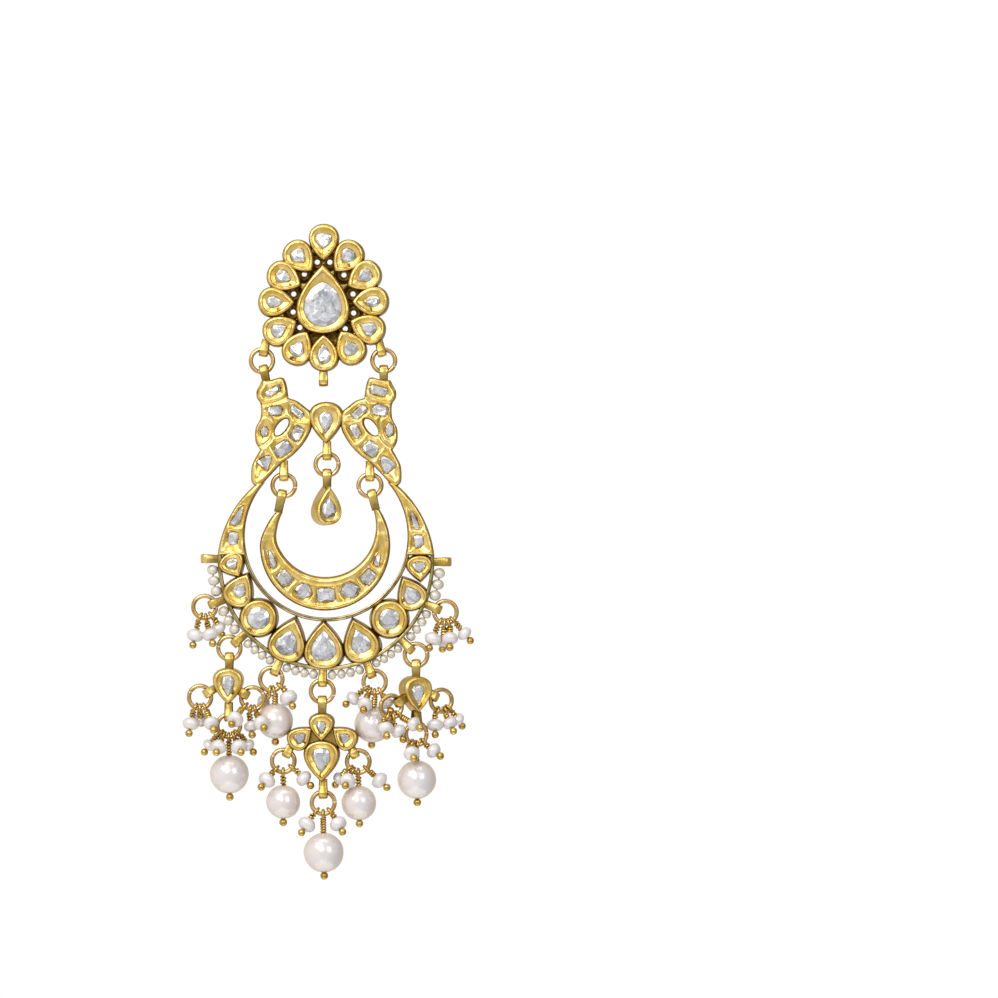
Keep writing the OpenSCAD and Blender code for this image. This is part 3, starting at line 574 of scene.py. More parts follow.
def nacre(name, body, blush, spot_size, skin_tint, gloss, lustre, warm=0.0):
    """Nacre: thin clear layers over a pale body, whose tint deepens where it is seen aslant."""
    made, tree, place = material(name)
    spots = add(tree, "ShaderNodeTexNoise", {
        "Vector": place, "Scale": 1 / (spot_size * MM), "Detail": 2.0, "Roughness": 0.55,
    })
    share = add(tree, "ShaderNodeMapRange", {0: spots, 1: 0.35, 2: 0.65})
    base = add(tree, "ShaderNodeMix", {0: share, 6: body, 7: blush}, data_type="RGBA")
    waves = add(tree, "ShaderNodeTexNoise", {
        "Vector": place, "Scale": 1 / (0.9 * MM), "Detail": 0.0,
    })
    skin = add(tree, "ShaderNodeBump", {"Height": waves, "Strength": 0.03, "Distance": 0.04 * MM})
    shader = add(tree, "ShaderNodeBsdfPrincipled", {
        "Base Color": base, "Metallic": lustre, "Roughness": gloss, "IOR": 2.0, "Normal": skin,
        "Coat Weight": 1.0, "Coat IOR": 1.12, "Coat Roughness": gloss * 0.75,
        "Coat Tint": skin_tint,
        "Sheen Weight": warm, "Sheen Tint": "#E8C480", "Sheen Roughness": 0.3,
    })
    add(tree, "ShaderNodeOutputMaterial", {"Surface": shader})
    return made


diamond = flat_diamond()
# Small freshwater pearls, tumbled and strung as they grew: satin, with a warm shade between them
small_nacre = nacre(
    "small_pearl_nacre", "#EAEBF4", "#E6E4E8", spot_size=1.2, skin_tint="#FAF6F0", gloss=0.34,
    lustre=0.1, warm=0.4,
)
# Seed pearls, duller and a little yellow from wear against the band
seed_nacre = nacre(
    "seed_pearl_nacre", "#E8E6E1", "#DBD7CF", spot_size=1.0, skin_tint="#F8F3EA", gloss=0.28,
    lustre=0.15,
)
# Big round pearls with thick nacre: a mirror-like spot, a pale body and a warm rim
big_nacre = nacre(
    "big_pearl_nacre", "#EAECFC", "#ECE6EF", spot_size=3.5, skin_tint="#FAF4E8", gloss=0.22,
    lustre=0.2, warm=0.7,
)

# tools that make the pieces


class Work:
    """A piece in the making, in mm, with a tone and a darkening for each point, which paints shade,
    dark reflections and dark joints.
    """

    def __init__(self):
        self.points, self.faces, self.tones, self.soils, self.kinds = [], [], [], [], []

    def put(self, points, faces, tone=0.0, soil=0.0, kind=0):
        """Adds points and faces. Tone and darkening are one value for all or a value for each
        point.
        """
        start = len(self.points)
        self.points.extend([tuple(p) for p in points])
        count = len(points)
        self.tones.extend(tone if hasattr(tone, "__len__") else [tone] * count)
        self.soils.extend(soil if hasattr(soil, "__len__") else [soil] * count)
        self.faces.extend([tuple(i + start for i in f) for f in faces])
        self.kinds.extend([kind] * len(faces))

    def take(self, bm, tone=0.0, soil=0.0, kind=0):
        """Adds a bmesh in mm and frees it. Its own tones and darkenings go before those given here.
        """
        bm.verts.index_update()
        own = []
        for key, value in (("tone", tone), ("soil", soil)):
            layer = bm.verts.layers.float.get(key)
            own.append(value if layer is None else [v[layer] for v in bm.verts])
        faces = [[v.index for v in f.verts] for f in bm.faces]
        self.put([v.co.copy() for v in bm.verts], faces, *own, kind)
        bm.free()

    def turn(self, x, since=0):
        """Turns the points from one on about an upright axis at x, to the viewer's right."""
        c, s = math.cos(TURN), math.sin(TURN)
        for i in range(since, len(self.points)):
            px, py, pz = self.points[i]
            dx, dy = px - x, py - HANG_Y
            self.points[i] = (x + dx * c - dy * s, HANG_Y + dx * s + dy * c, pz)


def build(name, work, materials, body, node, crisp=METAL_CRISP):
    """Makes the object of a piece, with its finish, its body and the node that it stands for."""
    mesh = bpy.data.meshes.new(name)
    bm = bmesh.new()
    tone = bm.verts.layers.float.new("tone")
    soil = bm.verts.layers.float.new("soil")
    verts = [bm.verts.new((x * MM, y * MM, z * MM)) for x, y, z in work.points]
    for v, t, s in zip(verts, work.tones, work.soils):
        v[tone] = t
        v[soil] = s
    for face, kind in zip(work.faces, work.kinds):
        made = bm.faces.new([verts[i] for i in face])
        made.smooth = True
        made.material_index = kind
    bmesh.ops.recalc_face_normals(bm, faces=bm.faces)
    bm.to_mesh(mesh)
    bm.free()
    mesh.set_sharp_from_angle(angle=math.radians(crisp))
    for m in materials:
        mesh.materials.append(m)
    piece = bpy.data.objects.new(name, mesh)
    scene.collection.objects.link(piece)
    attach(piece, body)
    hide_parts(node)


def build_gold(name, work, body, node):
    """Builds settings and plates with their bails."""
    build(name, work, [burnished_gold, filed_gold], body, node)


def build_stones(name, work, body, node):
    """Builds flat stones, whose planes meet in crisp edges."""
    build(name, work, [diamond], body, node, STONE_CRISP)


def sign_power(v, p):
    """A power of a number's size, with the number's sign."""
    return math.copysign(abs(v) ** p, v)


def outline(width, length, form, sides=72):
    """Closed outline about the origin with its tip up, as (x, z) pairs."""
    tip, corner = form
    raw = []
    for i in range(sides):
        a = TAU * i / sides
        across = sign_power(math.sin(a), corner) * math.sin(a / 2) ** tip
        raw.append((across, sign_power(math.cos(a), corner)))
    widest = max(p[0] for p in raw)
    return [(x * width / 2 / widest, z * length / 2) for x, z in raw]


def placed(points, x, z, degrees):
    """Turns an outline clockwise and moves it."""
    c, s = math.cos(math.radians(degrees)), math.sin(math.radians(degrees))
    return [(x + px * c + pz * s, z - px * s + pz * c) for px, pz in points]


def circle(middle, r, sides=160):
    """Points round a middle, clockwise from its top."""
    turns = [TAU * i / sides for i in range(sides)]
    return [(middle[0] + r * math.sin(a), middle[1] + r * math.cos(a)) for a in turns]


def rounded(points, steps=4, sharp=55):
    """A smooth closed line through points, with its sharp corners kept."""
    count = len(points)
    corner = []
    for i in range(count):
        a, b, c = (Vector(points[(i + k) % count]) for k in (-1, 0, 1))
        corner.append(math.degrees((b - a).angle(c - b, 0)) > sharp)
    out = []
    for i in range(count):
        p = [Vector(points[(i + k) % count]) for k in (-1, 0, 1, 2)]
        ahead = (p[2] - p[0]) / 2 if not corner[i] else (p[2] - p[1])
        after = (p[3] - p[1]) / 2 if not corner[(i + 1) % count] else (p[2] - p[1])
        for k in range(steps):
            t = k / steps
            h = (2 * t**3 - 3 * t**2 + 1, t**3 - 2 * t**2 + t, -2 * t**3 + 3 * t**2, t**3 - t**2)
            out.append(tuple(h[0] * p[1] + h[1] * ahead + h[2] * p[2] + h[3] * after))
    return out


# Points that are measured against an outline at one time, so that they fit in memory
BATCH = 20000


def depth_in(points, poly):
    """Distance of each point inside a closed polygon, negative outside."""
    poly = np.asarray(poly, float)
    a, b = poly, np.roll(poly, -1, axis=0)
    out = np.empty(len(points))
    for lo in range(0, len(points), BATCH):
        p = points[lo:lo + BATCH]
        ap = p[:, None, :] - a[None]
        ab = (b - a)[None]
        t = np.clip((ap * ab).sum(2) / np.maximum((ab * ab).sum(2), 1e-12), 0, 1)
        near = np.sqrt(((ap - t[..., None] * ab) ** 2).sum(2).min(1))
        up = (a[None, :, 1] <= p[:, None, 1]) != (b[None, :, 1] <= p[:, None, 1])
        with np.errstate(divide="ignore", invalid="ignore"):
            rise = (p[:, None, 1] - a[None, :, 1]) * (b - a)[None, :, 0]
            cross = a[None, :, 0] + rise / (b - a)[None, :, 1]
        inside = (up & (p[:, None, 0] < cross)).sum(1) % 2 == 1
        out[lo:lo + BATCH] = np.where(inside, near, -near)
    return out


# The burnisher's dents, broad and fine: how many lie on a mm, where the noise is cut, and height
DENTS = ((0.8, 7.1, 0.06), (2.1, 4.2, 0.022))


def hammer(x, z):
    """Height of the soft dents that the burnisher leaves."""
    return sum(noise.noise(Vector((x * many, z * many, at))) * high for many, at, high in DENTS)


def chorded(points, corners, share):
    """Pulls a closed line toward straight chords between some of its points."""
    count = len(points)
    corners = sorted(corners)
    out = [Vector(p) for p in points]
    for k, start in enumerate(corners):
        end = corners[(k + 1) % len(corners)]
        span = (end - start) % count or count
        for j in range(span):
            i = (start + j) % count
            chord = Vector(points[start]).lerp(Vector(points[end % count]), j / span)
            out[i] = out[i].lerp(chord, share)
    return out


def uneven_corners(rng, count, sides):
    """Indexes of some corners round a closed line, unevenly spaced."""
    return sorted({int((k + rng.uniform(-0.3, 0.3)) * sides / count) % sides for k in range(count)})


def within(*lines):
    """The depth inside any of some closed lines."""
    return lambda p: np.maximum.reduce([depth_in(p, line) for line in lines])


def cell_line(cell):
    """A setting's outer line."""
    return placed(outline(cell[2], cell[3], cell[5]), cell[0], cell[1], cell[4])


def rings_to_faces(rows, sides):
    """The faces between closed rows of points that lie one after the other."""
    faces = []
    for r in range(rows - 1):
        for i in range(sides):
            j = (i + 1) % sides
            a = r * sides
            faces.append((a + i, a + j, a + sides + j, a + sides + i))
    return faces


# Section of a setting from its outer edge to its stone: share of the way in, drop below the crest,
# tone and painted shade, which darkens the foot of the wall, the groove and the pocket
PROFILE = [
    (0.0, 0.66, 1.0, 0.35), (0.0, 0.48, 1.0, 0.2), (0.025, 0.32, 0.95, 0.05),
    (0.08, 0.2, 0.7, 0.0), (0.15, 0.1, 0.3, 0.0), (0.22, 0.03, 0.05, 0.0), (0.3, 0.0, 0.0, 0.0),
    (0.37, 0.01, 0.0, 0.0), (0.42, 0.09, 0.2, 0.05), (0.465, 0.19, 0.5, 0.2),
    (0.51, 0.22, 0.25, 0.0), (0.64, 0.25, 0.0, 0.0), (0.8, 0.31, 0.0, 0.0), (0.93, 0.4, 0.05, 0.0),
    (1.0, 0.47, 0.3, 0.3), (1.0, POCKET, 0.4, 0.9),
]
# Where that section turns from the wall to the rounded edge
EDGE_SHARE = 0.3
# The line of a pocket against its stone's size in the tables, and its pull toward straight chords
POCKET_GROWN = 1.05
POCKET_CHORDS = 0.35
# How far hand work shifts a setting's crest, as a share of its width and up or down
HAND = 0.03
# The painted dark reflection of most settings, a dark spot low on their slope: how far from their
# lowest point it lies and how far it spreads, in degrees, and between which shares of the way in
DARK_REFLECTION_ASIDE = 45
DARK_REFLECTION_SPREADS = (0, 7, 12, 20)
DARK_REFLECTION_FROM = 0.45
DARK_REFLECTION_TO = 0.85


def setting(work, cell, back, front, seed, sides=84, flats=9, gem=None, foot=0.08, wall=1.0):
    """One stone's gold setting, from its flat back to the pocket of its stone."""
    x, z, width, length, tip, form, stone_w, stone_l, low = cell
    rng = random.Random(seed)
    outer = placed(outline(width, length, form, sides), x, z, tip)
    pocket = outline(stone_w, stone_l, gem or form, sides)
    pocket = [(a * POCKET_GROWN, b * POCKET_GROWN - low) for a, b in pocket]
    inner = placed(pocket, x, z, tip)
    knots = uneven_corners(rng, flats, sides)
    inner = [tuple(v) for v in chorded(inner, knots, POCKET_CHORDS)]
    lift = [rng.uniform(-HAND, HAND) for _ in range(flats + 1)]
    shift = [rng.uniform(-HAND, HAND) for _ in range(flats + 1)]
    reflection_at, reflection_spread = rng.uniform(-DARK_REFLECTION_ASIDE, DARK_REFLECTION_ASIDE), rng.choice(DARK_REFLECTION_SPREADS)
    points, tones, soils = [], [], []

    def ring(share, y, tone, soil, rough):
        """A closed row of the section, with the painted dark reflection."""
        line = []
        for i in range(sides):
            pull = flats * i / sides
            k, f = int(pull), pull - int(pull)
            mid = 4 * share * (1 - share)
            wander = shift[k] * (1 - f) + shift[(k + 1) % flats] * f
            rise = (lift[k] * (1 - f) + lift[(k + 1) % flats] * f) * mid
            s = share + wander * mid
            px = outer[i][0] * (1 - s) + inner[i][0] * s
            pz = outer[i][1] * (1 - s) + inner[i][1] * s
            line.append((px, y + rise + (hammer(px, pz) * min(1, mid * 2) if rough else 0), pz))
            # The painted dark reflection: near the lowest point, with a ragged spread
            off = abs(math.degrees(math.atan2(px - x, z - pz)) - reflection_at)
            ragged = reflection_spread * (0.6 + abs(noise.noise(Vector((px * 3, pz * 3, seed)))))
            soils.append(0.95 if DARK_REFLECTION_FROM < share < DARK_REFLECTION_TO and off < ragged else soil)
        points.extend(line)
        tones.extend([tone] * sides)

    # Rows of the wall, from the back: share of the way in, y, tone and painted shade
    for row in (
        (0.12, back, wall * 0.5, 0.1), (-foot, back - 0.12, wall, 0.15),
        (-foot * 0.8, back - 0.5, wall, 0.1), (-foot * 0.3, back * 0.4 + front * 0.6, wall, 0.05),
    ):
        ring(*row, False)
    for share, drop, tone, soil in PROFILE:
        if share < EDGE_SHARE:
            tone, soil = min(tone, wall), soil * wall
        ring(share, front + drop, tone, soil, 0 < share < 1)
    rows = len(points) // sides
    faces = rings_to_faces(rows, sides)
    centre = len(points)
    points += [(x, back, z), (x, front + POCKET, z)]
    tones += [0.35, 0.5]
    # The pocket's floor under the stone is dark with painted shade
    soils += [0.1, 0.9]
    last = (rows - 1) * sides
    for i in range(sides):
        j = (i + 1) % sides
        faces.append((centre, j, i))
        faces.append((centre + 1, last + i, last + j))
    work.put(points, faces, tones, soils)
    return inner


# A stone's foot stands this far off the floor of its pocket
FOOT_OFF = 0.05
# How far below the crest round it a stone's girdle lies, its table lies, and any of its table lies
# at least
GIRDLE_LOW = 0.38
TABLE_LOW = 0.12
TABLE_LEAST = 0.06
# The table's unevenness, its slant for each mm, and its corners as shares of the way to the girdle
TABLE_ROUGH = 0.06
TABLE_SLANT = 0.05
TABLE_CORNERS = (0.6, 0.88)
# Tones of a stone: its girdle, dark with painted shade, its crown planes painted shaded or lit,
# what is left of their tone at the girdle as painted shade, and the first and the next planes of
# its table
GIRDLE_SHADE = 0.1
CROWN_SHADED = (0.0, 0.25)
CROWN_LIT = (0.5, 0.8, 1.0)
CROWN_EDGE_SHADE = 0.35
TABLE_FIRST = (0.5, 0.75)
TABLE_NEXT = (0.45, 0.85)
# The chance that a crown plane turned away from the key light is painted shaded
SHADED_CHANCE = 0.6


def stone(work, line, front, seed, corners):
    """A flat uncut stone in the line of its pocket: girdle, low crown and a table of few planes."""
    rng = random.Random(seed)
    sides = len(line)
    mid = Vector((sum(p[0] for p in line) / sides, sum(p[1] for p in line) / sides))
    knots = uneven_corners(rng, corners, sides)
    tilt = [rng.uniform(-TABLE_SLANT, TABLE_SLANT) for _ in range(2)]
    table = []
    for k in knots:
        spot = mid.lerp(Vector(line[k]), rng.uniform(*TABLE_CORNERS))
        sunk = TABLE_LOW + tilt[0] * (spot.x - mid.x) + tilt[1] * (spot.y - mid.y)
        sunk += rng.uniform(0, TABLE_ROUGH)
        table.append((spot.x, front + max(TABLE_LEAST, sunk), spot.y))
    low = [(x, front + POCKET - FOOT_OFF, z) for x, z in line]
    edge = [(x, front + GIRDLE_LOW, z) for x, z in line]

    def plane(spots, faces, tone):
        """One plane of the stone, with its own painted tone for the part of the foil that it
        reflects.
        """
        work.put(spots, faces, max(0.0, min(1.0, tone)), 0.0)

    # The girdle, dark with painted shade
    for i in range(sides):
        j = (i + 1) % sides
        plane([low[i], low[j], edge[j], edge[i]], [(0, 1, 2, 3)], GIRDLE_SHADE)
    count = len(knots)
    for k in range(count):
        start, end = knots[k], knots[(k + 1) % count]
        run = [(start + j) % sides for j in range(((end - start) % sides or sides) + 1)]
        fan = [table[k], table[(k + 1) % count]] + [edge[i] for i in reversed(run)]
        cut = [(0, 1, 2)] + [(0, i, i + 1) for i in range(2, len(fan) - 1)]
        lean = table[k][0] - mid.x - table[k][2] + mid.y
        # Crown planes turned away from the key light are mostly painted shaded, the others lit, and
        # all darken toward the girdle with painted shade
        away_from_key = lean > 0.25 * (line[start][0] - line[end][0]) and rng.random() < SHADED_CHANCE
        shade = rng.uniform(*CROWN_SHADED) if away_from_key else rng.choice(CROWN_LIT)
        work.put(fan, cut, [shade] * 2 + [shade * CROWN_EDGE_SHADE] * (len(fan) - 2))
    begin = rng.randrange(count)
    tone = rng.uniform(*TABLE_FIRST)
    for k in range(1, count - 1):
        a, b, c = (table[(begin + n) % count] for n in (0, k, k + 1))
        if k % 2:
            tone = rng.uniform(*TABLE_NEXT)
        plane([a, b, c], [(0, 1, 2)], tone)


# A point of a carved plate's grid is moved onto the edge from within this share of a step. In each
# round of smoothing, points farther in than SMOOTH_FROM take this share of their neighbours' height
SNAPPED = 0.42
SMOOTHED = 5
SMOOTH_FROM = 0.1
SMOOTH_PULL = 0.6
# Height of the lowest row of faces in a carved plate's wall
WALL_FOOT = 0.1


def relief(work, inside, shape, box, back):
    """A raised plate, from the depth inside its edge and the shape of its front."""
    x0, z0, x1, z1, step = box
    nx, nz = int((x1 - x0) / step) + 1, int((z1 - z0) / step) + 1
    gx, gz = np.meshgrid(np.linspace(x0, x1, nx), np.linspace(z0, z1, nz), indexing="ij")
    spots = np.stack([gx.ravel(), gz.ravel()], 1)
    depth = inside(spots).reshape(nx, nz)
    sx, sz = (x1 - x0) / (nx - 1), (z1 - z0) / (nz - 1)
    dx, dz = np.gradient(depth, sx, sz)
    norm = np.maximum(dx**2 + dz**2, 0.25)
    near = np.abs(depth) < SNAPPED * step
    gx = np.where(near, gx - depth * dx / norm, gx)
    gz = np.where(near, gz - depth * dz / norm, gz)
    depth = np.where(near, 0.0, depth)
    index = -np.ones((nx, nz), int)
    flat, faces, crossing = [], [], {}

    def vertex(i, j):
        """A point of the grid."""
        if index[i, j] < 0:
            index[i, j] = len(flat)
            flat.append((gx[i, j], gz[i, j]))
        return index[i, j]

    def crossed(a, b):
        """The point where the edge crosses a line of the grid."""
        key = (min(a, b), max(a, b))
        if key not in crossing:
            t = depth[a] / (depth[a] - depth[b])
            crossing[key] = len(flat)
            flat.append((gx[a] + t * (gx[b] - gx[a]), gz[a] + t * (gz[b] - gz[a])))
        return crossing[key]

    good = depth >= 0
    counts = good[:-1, :-1].astype(int) + good[1:, :-1] + good[1:, 1:] + good[:-1, 1:]
    deep = np.maximum.reduce([depth[:-1, :-1], depth[1:, :-1], depth[1:, 1:], depth[:-1, 1:]])
    for i, j in zip(*np.nonzero((counts > 0) & (deep > 0))):
        corners = [(i, j), (i + 1, j), (i + 1, j + 1), (i, j + 1)]
        face = []
        for k in range(4):
            a, b = corners[k], corners[(k + 1) % 4]
            if depth[a] >= 0:
                face.append(vertex(*a))
            if (depth[a] > 0 > depth[b]) or (depth[a] < 0 < depth[b]):
                face.append(crossed(a, b))
        faces.append(tuple(face))
    flat = np.array(flat)
    within_edge = np.maximum(inside(flat), 0)
    y, tone, soil = shape(flat, within_edge)
    edges = [(f[k], f[(k + 1) % len(f)]) for f in faces for k in range(len(f))]
    ends = np.array(edges)
    loose = (within_edge > SMOOTH_FROM) & (soil < 0.5)
    for _ in range(SMOOTHED):
        total, count = np.zeros(len(flat)), np.zeros(len(flat))
        np.add.at(total, ends[:, 0], y[ends[:, 1]])
        np.add.at(count, ends[:, 0], 1)
        pulled = (1 - SMOOTH_PULL) * y + SMOOTH_PULL * total / np.maximum(count, 1)
        y = np.where(loose, pulled, y)
    front = [(p[0], h, p[1]) for p, h in zip(flat, y)]
    work.put(front, faces, list(tone), list(soil))
    used = dict.fromkeys(edges)
    rim = [(a, b) for a, b in used if (b, a) not in used]
    names = sorted({v for e in rim for v in e})
    place = {v: n for n, v in enumerate(names)}
    count = len(names)
    rows = []
    for level in (0, 1, 2):
        for v in names:
            x, y, z = front[v]
            rows.append((x, (y, back - WALL_FOOT, back)[level], z))
    walls = []
    for a, b in rim:
        for level in (0, 1):
            p, q = place[a] + level * count, place[b] + level * count
            walls.append((p, p + count, q + count, q))
    # Walls and back: dull gold with a little painted shade
    work.put(rows, walls, [0.85] * count + [1.0] * (2 * count), 0.08)
    work.put([(p[0], back, p[1]) for p in flat], [tuple(reversed(f)) for f in faces], 0.4, 0.05)


def section_face(points, tones, soils):
    """A bmesh of one face whose vertices carry tones and darkenings of painted shade."""
    bm = bmesh.new()
    tone, soil = bm.verts.layers.float.new("tone"), bm.verts.layers.float.new("soil")
    for p, t, s in zip(points, tones, soils):
        v = bm.verts.new(p)
        v[tone], v[soil] = t, s
    bm.faces.new(bm.verts[:])
    return bm


def spun(bm, axis, angle, steps, **more):
    """Spins all of a bmesh round an axis through the origin."""
    return bmesh.ops.spin(
        bm, geom=bm.verts[:] + bm.edges[:] + bm.faces[:], cent=(0, 0, 0), axis=axis, angle=angle,
        steps=steps, **more,
    )


def swung(bm, middle, begin, end, steps):
    """Spins a section, drawn straight below the origin, between two angles round a middle."""
    start = Matrix.Rotation(-begin, 3, "Y")
    bmesh.ops.rotate(bm, verts=bm.verts[:], cent=(0, 0, 0), matrix=start)
    spun(bm, (0, -1, 0), end - begin, steps)
    bmesh.ops.translate(bm, verts=bm.verts[:], vec=(middle[0], 0, middle[1]))
    return bm


def facing(at, direction):
    """The matrix that moves the origin to a point and turns up to a direction."""
    return Matrix.Translation(at) @ Vector(direction).to_track_quat("Z", "Y").to_matrix().to_4x4()


# A bail's strip in section, from edge to edge: across the strip and out from its middle plane, as
# shares of half the width and half the thickness plus mm, and how dull each point is
STRIP = [
    (-1, -0.4, 0, 1), (-0.83, -1, 0, 0.8), (0.83, -1, 0, 0.8), (1, -0.4, 0, 1), (1, 0.4, 0, 0.9),
    (0.94, 1, -0.02, 0.6), (0.8, 1, 0.05, 0.15), (0.4, 1, 0.09, 0), (0, 1, 0.1, 0),
    (-0.4, 1, 0.09, 0), (-0.8, 1, 0.05, 0.15), (-0.94, 1, -0.02, 0.6), (-1, 0.4, 0, 0.9),
]

# Toward the middle of a setting a bail's leg closes in, narrows, dulls and darkens with painted
# shade
# in two steps: inward as a share of its bend, narrowing, tone and painted shade
LEG = ((0.28, 0.93, 0.2, 0.4), (0.17, 0.97, 0.4, 0.7))
# How deep under a setting's edge a bail's legs end, and how uneven its strip is
SOLDERED = 0.12
STRIP_DENTS = 0.06
# A bail's length is tried in steps, from legs of LEG_LEAST below its bend to BAIL_MOST in all
BAIL_STEP = 0.05
LEG_LEAST = 0.2
BAIL_MOST = 3.6


def bail(work, ring, way, inside, longest=BAIL_MOST):
    """A strip bent round the ring's wire, its ends soldered just inside the setting's edge."""
    turned = math.radians(way)
    trial = np.arange(BAIL_D / 2 + LEG_LEAST, longest, BAIL_STEP)
    far = trial + BAIL_TO_RING
    line = np.stack([ring[0] - far * math.sin(turned), ring[1] - far * math.cos(turned)], 1)
    sunk = np.nonzero(inside(line) > SOLDERED)[0]
    reach = trial[sunk[0]] if len(sunk) else longest
    r = BAIL_D / 2 - BAIL_T / 2
    section = [(w * BAIL_W / 2, -r - t * BAIL_T / 2 - more, 0) for w, t, more, _ in STRIP]
    bm = section_face(section, [row[3] for row in STRIP], [0.0] * len(STRIP))
    tone, soil = bm.verts.layers.float["tone"], bm.verts.layers.float["soil"]
    first = bm.faces[:]
    bent = spun(bm, (-1, 0, 0), math.pi, 10)
    last = [f for f in bent["geom_last"] if isinstance(f, bmesh.types.BMFace)]
    half_way = (reach - BAIL_D / 2) / 2
    for leg in (first, last):
        for inward, narrow, dull, darkening in LEG:
            drawn = bmesh.ops.extrude_face_region(bm, geom=leg)["geom"]
            leg = [f for f in drawn if isinstance(f, bmesh.types.BMFace)]
            ends = [v for v in drawn if isinstance(v, bmesh.types.BMVert)]
            away = math.copysign(r * inward, -sum(v.co.y for v in ends))
            bmesh.ops.translate(bm, verts=ends, vec=(0, away, -half_way))
            bmesh.ops.scale(bm, verts=ends, vec=(narrow, 1, 1))
            # Painted shade where the leg goes in under the setting's edge
            for v in ends:
                v[tone], v[soil] = max(v[tone], dull), darkening
    bmesh.ops.recalc_face_normals(bm, faces=bm.faces[:])
    seen = Matrix.Translation((ring[0], HANG_Y, ring[1])) @ Matrix.Rotation(turned, 4, "Y")
    seen = seen @ Matrix.Translation((0, 0, -BAIL_TO_RING - BAIL_D / 2))
    bmesh.ops.transform(bm, verts=bm.verts[:], matrix=seen)
    bm.normal_update()
    for v in bm.verts:
        if v[tone] < 0.5:
            v.co += v.normal * noise.noise(v.co * 1.7) * STRIP_DENTS
    work.take(bm, kind=1)


# A jump ring: steps round it, width of its cut in degrees, how far the cut's ends lie apart along
# the ring's axis, the bevel of their edges, and the ring's greatest oval
RING_STEPS = 72
RING_CUT = 2.2
RING_SPRUNG = 0.04
CUT_BEVEL = 0.03
RING_OVAL = 0.02


def jump_ring(work, ring, cut, seed):
    """A ring of round wire with a fine cut, not quite round or flat."""
    wobble = random.Random(seed).uniform(-RING_OVAL, RING_OVAL)
    bm = bmesh.new()
    top = Matrix.Translation((0, 0, RING_R)) @ Matrix.Rotation(math.pi / 2, 4, "Y")
    bmesh.ops.create_circle(bm, cap_ends=True, segments=16, radius=RING_WIRE / 2, matrix=top)
    spun(
        bm, (0, 1, 0), TAU - math.radians(RING_CUT), RING_STEPS,
        dvec=(0, RING_SPRUNG / RING_STEPS, 0),
    )
    cut_edges = {e for f in bm.faces if len(f.verts) > 4 for e in f.edges}
    bmesh.ops.bevel(
        bm, geom=list(cut_edges), offset=CUT_BEVEL, segments=1, profile=0.5, affect="EDGES",
        material=-1,
    )
    turned = Matrix.Rotation(math.radians(cut), 3, "Y")
    bmesh.ops.rotate(bm, verts=bm.verts[:], cent=(0, 0, 0), matrix=turned)
    bmesh.ops.scale(bm, verts=bm.verts[:], vec=(1 - wobble, 1, 1 + wobble))
    bmesh.ops.translate(bm, verts=bm.verts[:], vec=(ring[0], HANG_Y - RING_SPRUNG / 2, ring[1]))
    work.take(bm)


def neck_at(ring, angle):
    """Where a pin leaves its loop, outside the ring."""
    a = math.radians(angle)
    reach = RING_R + LOOP_R
    return Vector((ring[0] + reach * math.sin(a), HANG_Y, ring[1] - reach * math.cos(a)))


def head_pin(work, ring, angle, at, dia, seed):
    """Loop round the ring's wire, coils down the neck, wire through the pearl, ball at the end."""
    rng = random.Random(seed)
    a = math.radians(angle)
    out = Vector((math.sin(a), 0, -math.cos(a)))
    wire = Vector((ring[0], HANG_Y, ring[1])) + out * RING_R
    neck = neck_at(ring, angle)
    length = (at - neck).length
    down = (at - neck) / length
    upright = Matrix.Rotation(math.pi / 2, 4, "X")

    loop = bmesh.new()
    place = Matrix.Translation((LOOP_R, 0, 0)) @ upright
    bmesh.ops.create_circle(loop, segments=8, radius=PIN_DIA / 2 + LOOP_MORE, matrix=place)
    spun(loop, (0, 0, 1), TAU, 28, use_merge=True)
    through = facing(wire, out.cross(Vector((0, 1, 0))))
    bmesh.ops.transform(loop, verts=loop.verts[:], matrix=through)
    work.take(loop)

    straight = length + dia / 2 + BALL_DIA * BALL_LOW
    shaft = bmesh.new()
    bmesh.ops.create_cone(
        shaft, cap_ends=True, segments=10, radius1=PIN_DIA / 2, radius2=PIN_DIA / 2, depth=straight,
        matrix=facing(neck + down * (straight / 2), down),
    )
    # The wire inside the coils is dull and darkened with painted shade, so the gaps between the
    # turns look deep
    work.take(shaft, tone=1.0, soil=0.7)

    coil_end = length - dia / 2 + COIL_BELOW
    turns = max(2, round(coil_end / (COIL_R * COIL_PITCH)))
    coil = bmesh.new()
    place = Matrix.Translation((PIN_DIA / 2 + COIL_R * COIL_OFF, 0, -COIL_ABOVE)) @ upright
    bmesh.ops.create_circle(coil, cap_ends=True, segments=7, radius=COIL_R, matrix=place)
    steps = turns * COIL_STEPS
    rise = (coil_end + COIL_ABOVE) / steps
    spun(coil, (0, 0, 1), TAU * turns, steps, dvec=(0, 0, rise))
    wound = facing(neck, down) @ Matrix.Rotation(rng.uniform(0, TAU), 4, "Z")
    bmesh.ops.transform(coil, verts=coil.verts[:], matrix=wound)
    work.take(coil)

    ball = bmesh.new()
    bmesh.ops.create_uvsphere(
        ball, u_segments=20, v_segments=12, radius=BALL_DIA / 2 * rng.uniform(BALL_LEAST, 1.0),
        matrix=Matrix.Translation(neck + down * straight),
    )
    work.take(ball)


# The dimple round a pearl's bore: its depth, the radius where it is deepest and its spread, and how
# far the surface sinks at the pole itself, out of sight inside the wire
DIMPLE = 0.05
DIMPLE_R = 0.2
DIMPLE_SPREAD = 0.18
POLE_SUNK = 0.5
# How many waves of its unevenness lie on a pearl's radius
PEARL_WAVES = 1.3


